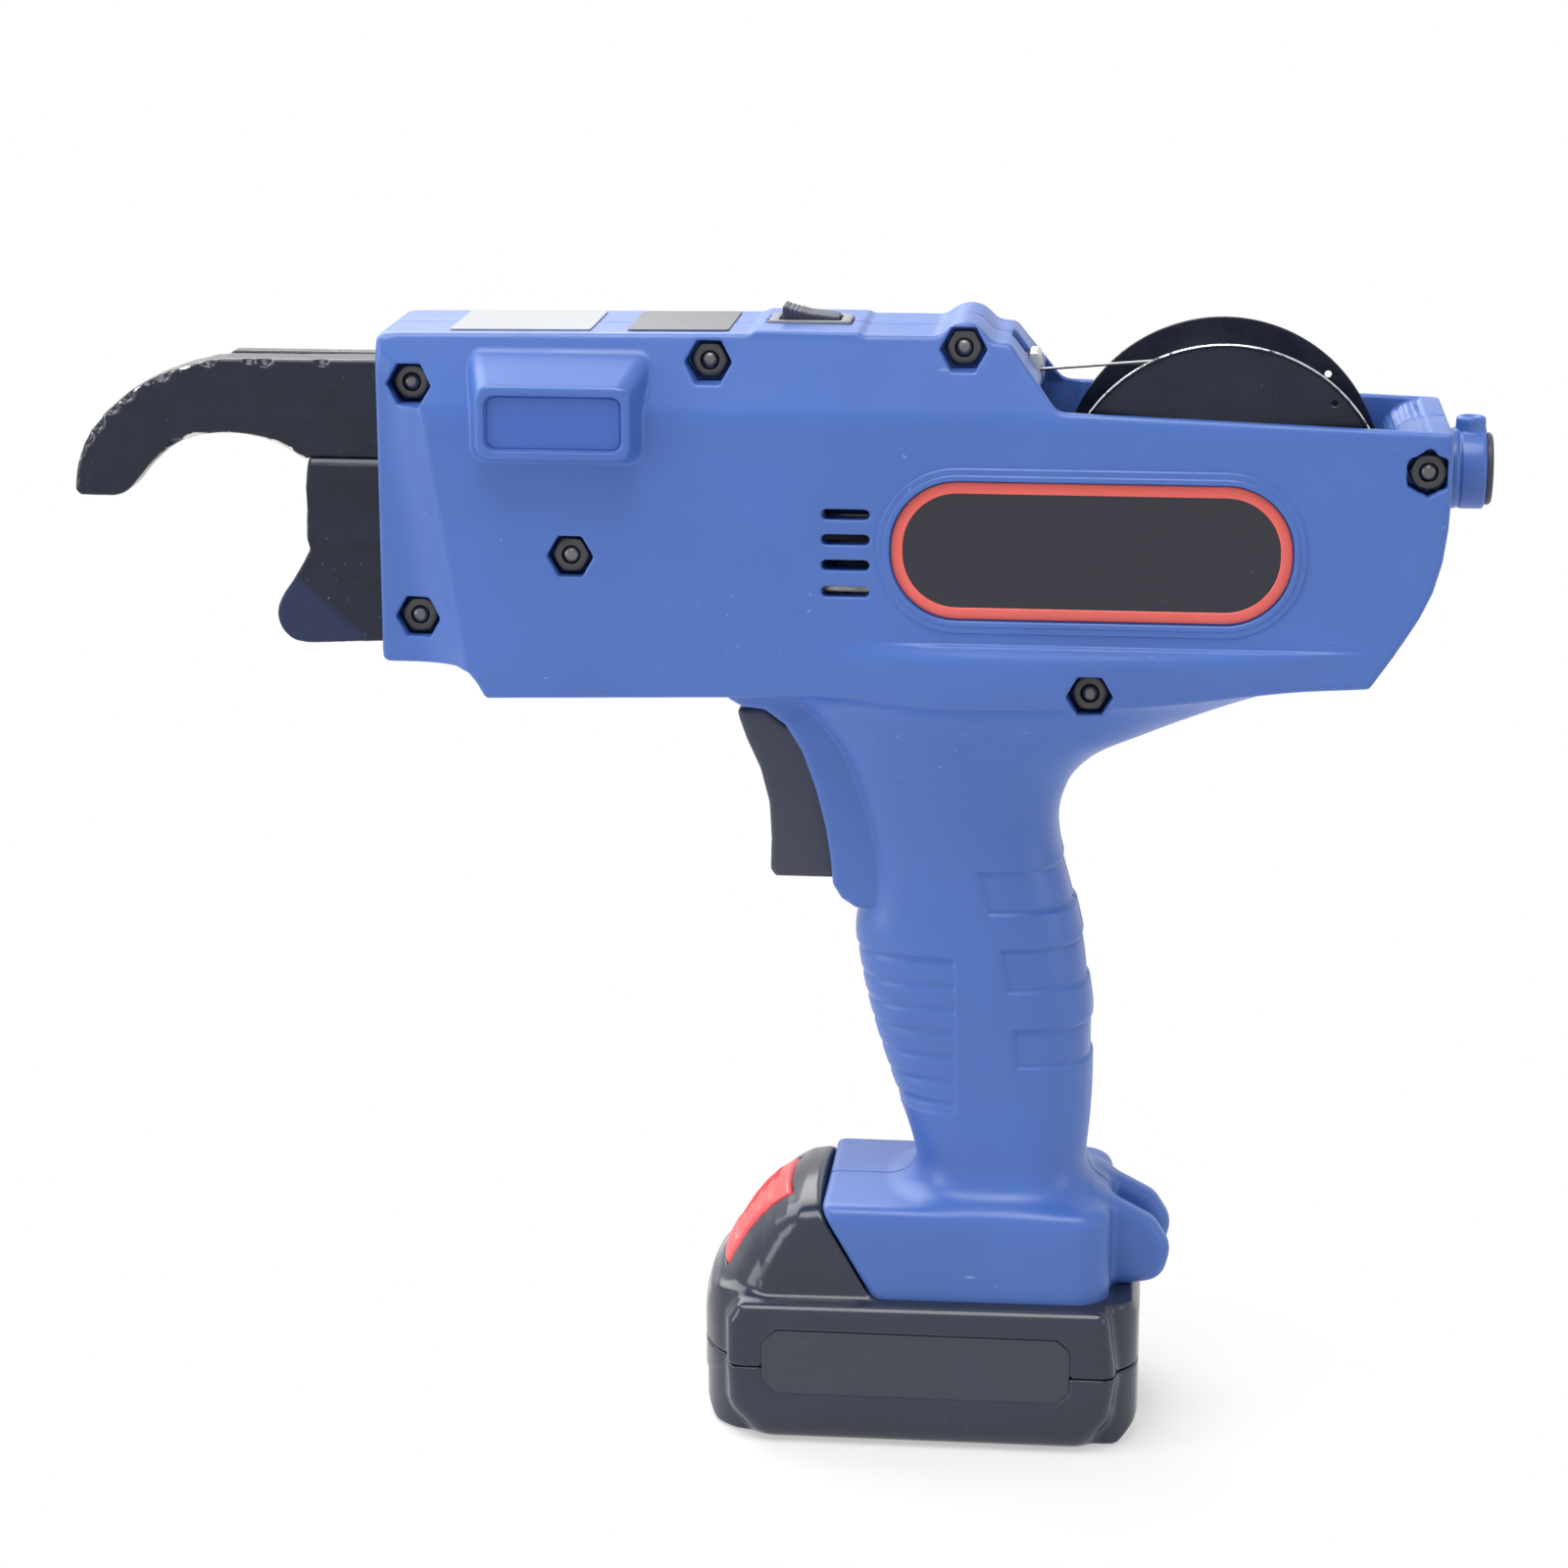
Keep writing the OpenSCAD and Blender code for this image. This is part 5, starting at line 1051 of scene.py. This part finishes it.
# Dial at the rear
g = x, y, z = grid(152, 165, -11, 11, 224, 249, 0.4)
ring = np.hypot(y, z - DIAL_Z)
f = smax(ring - 9.2, np.abs(x - 159.2) - 4.3, 1)
f = press(f, np.abs(x - 157.4) - 0.35, 0.4, 0.5)
tab = smax(np.hypot(x - 160, y) - 3.4, np.abs(z - 241) - 6, 1)
tab = press(tab, np.hypot(x - 160, y) - 1.7 + F(20) * (z < 246), 0.5, 0.4)
f = smin(f, tab, 0.8)
f = cut(f, both(ring - 6.4, x - 159.2), 0.3)
f = smin(f, both(ring - 3, np.abs(x - 156.5) - 3.5), 0.3)
hand_over(skin("dial_knob", g, f, BLUE, 0.4), "dial", "body_blue", "torque_dial")
profile = [
    (0.01, 163.5), (8.1, 163.5), (8.25, 163.7), (8.25, 164.5), (7.7, 165), (6.2, 165), (5.9, 164.6),
    (0.01, 164.6),
]
hand_over(turned("dial_end", (0, 0, DIAL_Z), "x", profile, BLACK, 64), "dial", "black_plastic", "dial_cap")

# Power switch
g = x, y, z = grid(-2, 20, -7.6, 7.6, 255, 271, 0.35)
f = box(x, y, z, (-0.62, -6.28, 265.6), (18.34, 6.28, 267.5), 0.5)
f = smin(f, box(x, y, z, (2, -5, 256), (15.7, 5, 267)), 0.3)
f = cut(f, box(x, y, z, (1.75, -4.9, 262), (15.95, 4.9, 280), 0.4), 0.4)
hand_over(skin("switch_bezel", g, f, BEZEL, 0.3), "housing", "black_plastic", "switch_frame")
ROCK = rounded([
    (2.6, 270.55, 0.3), (8.6, 268.9, 4), (15.4, 268.1, 0.4), (15.4, 266.9, 0.4), (8.9, 266.6, 2),
    (2.4, 267, 0.5),
])
g = x, y, z = grid(1.2, 16.6, -5.6, 5.6, 265.4, 271.8, 0.25)
f = smax(poly(x, z, ROCK), np.abs(y) - 4.55, 0.6)
for at in (4.2, 5.2, 6.2):
    f = press(f, np.abs(x - at) - 0.2, 0.18, 0.25)
hand_over(skin("switch_rocker", g, f, BLACK, 0.4), "rocker", "black_plastic", "power_rocker")


# Fasteners
def repeat(name, item, places, material):
    """Copies of one mesh at several places as one object."""
    data = item.data
    points = points_of(data)
    n = len(points)
    tris = np.array([p.vertices[:] for p in data.polygons], np.int32)
    normals = np.array([v.vector[:] for v in data.vertex_normals], F)
    bpy.data.objects.remove(item)
    bpy.data.meshes.remove(data)
    every = np.concatenate([points + np.asarray(p, F) for p in places])
    faces = np.concatenate([tris + i * n for i in range(len(places))])
    return put(name, every, faces, material, np.concatenate([normals] * len(places)))


# How far out the bolts end on the nut side, and how far below that a nut's face lies
FACES = [19.4, 19.4, 19.2, 25.9, 17.8, 25.9, 25.9]
SINK = 1.4
g = x, y, z = grid(-5.6, 5.6, -0.6, 4.8, -5.6, 5.6, 0.25)
ring = np.hypot(x, z)
f = smax(hexagon(x, z, 8), np.abs(y - 2) - 1.95, 0.3)
f = smax(f, (ring - 4.3) * 0.5 + (np.abs(y - 2) - 1.6) * 0.86, 0.3)
f = cut(f, ring - 2.05 + 0 * y, 0.5)
item = skin("nut", g, f, None, 0.35)
places = [(px, -face + SINK, pz) for (px, pz), face in zip(NUTS, FACES)]
hand_over(repeat("clamp_nuts", item, places, DARK), "housing", "dark_steel", "housing_nuts")
# A bolt's domed end and its socket head: radius, and place from the end or from the head's face
BOLT_END = [(0.01, 0), (0.6, -0.06), (1.1, -0.22), (1.6, -0.5), (1.95, -0.95)]
BOLT_HEAD = [
    (1.95, 4.6), (3.9, 4.5), (4.1, 4.2), (4.1, 0.5), (3.7, 0), (2.2, 0), (2, 0.3), (1.9, 2.4), (0.01, 2.4),
]
for i, ((px, pz), face) in enumerate(zip(NUTS, FACES)):
    end = face - SINK + 0.6
    profile = [(r, end + t) for r, t in BOLT_END] + [(r, t - face) for r, t in BOLT_HEAD]
    item = turned("clamp_bolt_%d" % i, (px, 0, pz), "y", profile, BOLT, 24)
    hand_over(item, "housing", "dark_steel", *(["housing_bolts"] if i == 0 else []))


# Plates and labels, bare
def oval(cx, cz, hw, hh, r, count=14):
    """The outline of a rectangle with round corners."""
    out = []
    for sx, sz, a0 in ((1, 1, 0), (-1, 1, 90), (-1, -1, 180), (1, -1, 270)):
        for a in np.radians(np.linspace(a0, a0 + 90, count)):
            out.append((cx + sx * (hw - r) + r * math.cos(a), cz + sz * (hh - r) + r * math.sin(a)))
    return np.array(out)


def level(outline, y):
    """A side outline as points at one y."""
    return np.stack([outline[:, 0], np.full(len(outline), y), outline[:, 1]], 1)


def plate_line(d):
    """The border's outline, inset by d."""
    return oval(74.6, 218.55, 45.2 - d, 15.75 - d, 15 - d)


def pad_line(d):
    """The outline of the panel on the boss, inset by d."""
    return oval(-46.6, 247.2, 15.2 - d, 5.9 - d, 2.1 - d)


def label_line(d):
    """The outline of the battery's label, inset by d."""
    line = np.array(LABEL)
    mid, size = line.mean(0), np.ptp(line, axis=0)
    return mid + (line - mid) * (1 - 2 * d / size)


# Steps of each plate: distance inside its outline, distance from the middle plane
PLATE_RIM = [
    (-0.4, 25.6), (-0.4, 26.88), (-0.6, 27.08), (-1.5, 27.08), (-1.75, 26.84), (-3.05, 26.84), (-3.35, 26.54),
    (-3.35, 26.2), (-0.4, 25.6),
]
PLATE_FIELD = [(2.5, 25.35), (2.5, 25.75), (2.7, 25.8)]
PLATE_EDGE = [(0, 25.35), (0, 25.85), (0.25, 26.02), (2.45, 26.02), (2.6, 25.9), (2.6, 25.35), (0, 25.35)]
BOSS_PAD = [(0, 31.5), (0, 32.1), (0.2, 32.25)]
PACK_LABEL = [(0, 30.2), (0, 30.62), (0.15, 30.7)]
# An angle below that of the fans keeps a plate's face flat
FLAT = 10


def flat_pieces(*kinds):
    """Thin pieces on both sides: name, outline, steps, look, closed ends, sharp angle, body, slot."""
    for side, label in ((-1, "left"), (1, "right")):
        for name, line, steps, look, caps, angle, body, slot in kinds:
            rings = [level(line(d), v * side) for d, v in steps]
            nodes = ["name_plates"] if (name, side) == ("plate_field_", -1) else []
            hand_over(sweep(name + label, rings, look, caps, angle), body, slot, *nodes)


flat_pieces(
    ("plate_rim_", plate_line, PLATE_RIM, BLUE, False, 25, "housing", "body_blue"),
    ("plate_field_", plate_line, PLATE_FIELD, PLATE, True, FLAT, "housing", "plate_black"),
    ("plate_edge_", plate_line, PLATE_EDGE, BORDER, False, 35, "housing", "plate_black"),
)
flat_pieces(("boss_pad_", pad_line, BOSS_PAD, PAD, True, FLAT, "housing", "body_blue"))
flat_pieces(("battery_label_", label_line, PACK_LABEL, LABEL_BLACK, True, FLAT, "battery", "battery_black"))

TOP_PLATE_HALF = 14.9
for label, x0, x1, look, nodes in (
    ("silver", -73, -40.4, SILVER, ["top_plates"]), ("grey", -32, -8.7, GREY, []),
):
    outline = oval(0, 0, (x1 - x0) / 2, TOP_PLATE_HALF, 1.2, 5)
    rings = []
    for inset, rise in ((0, 0.06), (0, 0.32), (0.12, 0.38)):
        at = (x0 + x1) / 2 + outline[:, 0] * (1 - 2 * inset / (x1 - x0))
        top = 265.2 + (at + 89.5) * (266.1 - 265.2) / (89.5 - 3.95)
        rings.append(np.stack([at, outline[:, 1] * (1 - inset / TOP_PLATE_HALF), top + rise], 1))
    hand_over(sweep("top_plate_" + label, rings, look, angle=FLAT), "housing", "plate_silver", *nodes)

# Wire inlet
g = x, y, z = grid(54, 64, -6.4, 6.4, INLET - 6, INLET + 6, 0.3)
f = box(x, y, z, (55.4, -4.9, INLET - 4.4), (61.9, 4.9, INLET - 0.4), 0.4)
f = smin(f, box(x, y, z, (55.4, -4.9, INLET - 4.4), (59, 4.9, INLET + 3.4), 0.6), 0.2)
hole = np.hypot(y, z - INLET) - 0.9 + 0 * x
hand_over(skin("inlet_block", g, cut(f, hole, 0.3), BLACK, 0.4), "housing", "steel", "wire_inlet")
u, v = np.abs(x - 60.45), np.abs(z - (INLET + 2.1))
f = smax(np.abs(y) - 4.95, both(u - 1.45, v - 2.5), 0.5)
f = smax(f, u * 0.8 + v * 0.6 - 2.2, 0.3)
hand_over(skin("inlet_plate", g, cut(f, hole, 0.4), ZINC, 0.4), "housing", "steel")

# Remaining CAD nodes
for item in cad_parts.values():
    for slot in item.material_slots:
        key = slot.material.name.split(".")[0] if slot.material else ""
        found = [k for k in FINISH if k in key]
        if found:
            slot.material = FINISH[found[0]]


# Floor, backdrop and light
def seen(tree):
    """1 for the rays that show the backdrop: from the camera, reflected, or through glass."""
    path = tree.nodes.new("ShaderNodeLightPath")
    last = path.outputs["Is Camera Ray"]
    for kind in ("Is Glossy Ray", "Is Transmission Ray"):
        either = tree.nodes.new("ShaderNodeMath")
        either.operation = "MAXIMUM"
        tree.links.new(last, either.inputs[0])
        tree.links.new(path.outputs[kind], either.inputs[1])
        last = either.outputs[0]
    return last


FLOOR_HALF = 15000.0
corners = np.array([(-1, -1, 0), (1, -1, 0), (1, 1, 0), (-1, 1, 0)]) * FLOOR_HALF
floor_look = material("floor", (0.9, 0.9, 0.9), 0.6)
floor = put("floor", corners, [(0, 1, 2, 3)], floor_look)
# The floor is white to the eye, apart from a patch under the pack that keeps its shadow
n = Nodes(floor_look)
patch, glow, blend = n.new("TexGradient"), n.new("Emission"), n.new("MixShader")
patch.gradient_type = "SPHERICAL"
move = n.new("Mapping", Scale=(1 / 0.12, 1 / 0.095, 1), Location=(-0.29, 0, 0))
n.link(n.place, move.inputs["Vector"])
n.link(move.outputs["Vector"], patch.inputs["Vector"])
white = n.maths("MULTIPLY", seen(n.tree), n.span(patch.outputs["Fac"], 0.0, 0.6, 1.0, 0.45))
n.link(white, blend.inputs[0])
n.link(n.shader.outputs[0], blend.inputs[1])
n.link(glow.outputs[0], blend.inputs[2])
n.link(blend.outputs[0], n.tree.nodes["Material Output"].inputs["Surface"])

world = bpy.data.worlds.new("world")
scene.world = world
world.use_nodes = True
tree = world.node_tree
sky = tree.nodes["Background"]
sky.inputs["Color"].default_value = (1, 1, 1, 1)
strength = tree.nodes.new("ShaderNodeMapRange")
strength.inputs["To Min"].default_value = 0.3
tree.links.new(seen(tree), strength.inputs["Value"])
tree.links.new(strength.outputs["Result"], sky.inputs["Strength"])


def lamp(name, at, size, power):
    """An area lamp that faces the tool."""
    data = bpy.data.lights.new(name, "AREA")
    data.shape, data.size, data.size_y, data.energy = "RECTANGLE", size[0], size[1], power
    item = bpy.data.objects.new(name, data)
    item.location = at
    item.rotation_euler = (AIM - Vector(at)).to_track_quat("-Z", "Y").to_euler()
    scene.collection.objects.link(item)


lamp("key", (-0.25, -0.45, 1.8), (1.4, 0.9), 25)
lamp("left", (-1.5, -0.7, 0.5), (0.6, 1.2), 10)
lamp("right", (1.5, -0.6, 0.5), (0.6, 1.2), 4)
lamp("rim", (-0.75, 0.9, 1.2), (1.8, 1.0), 22)
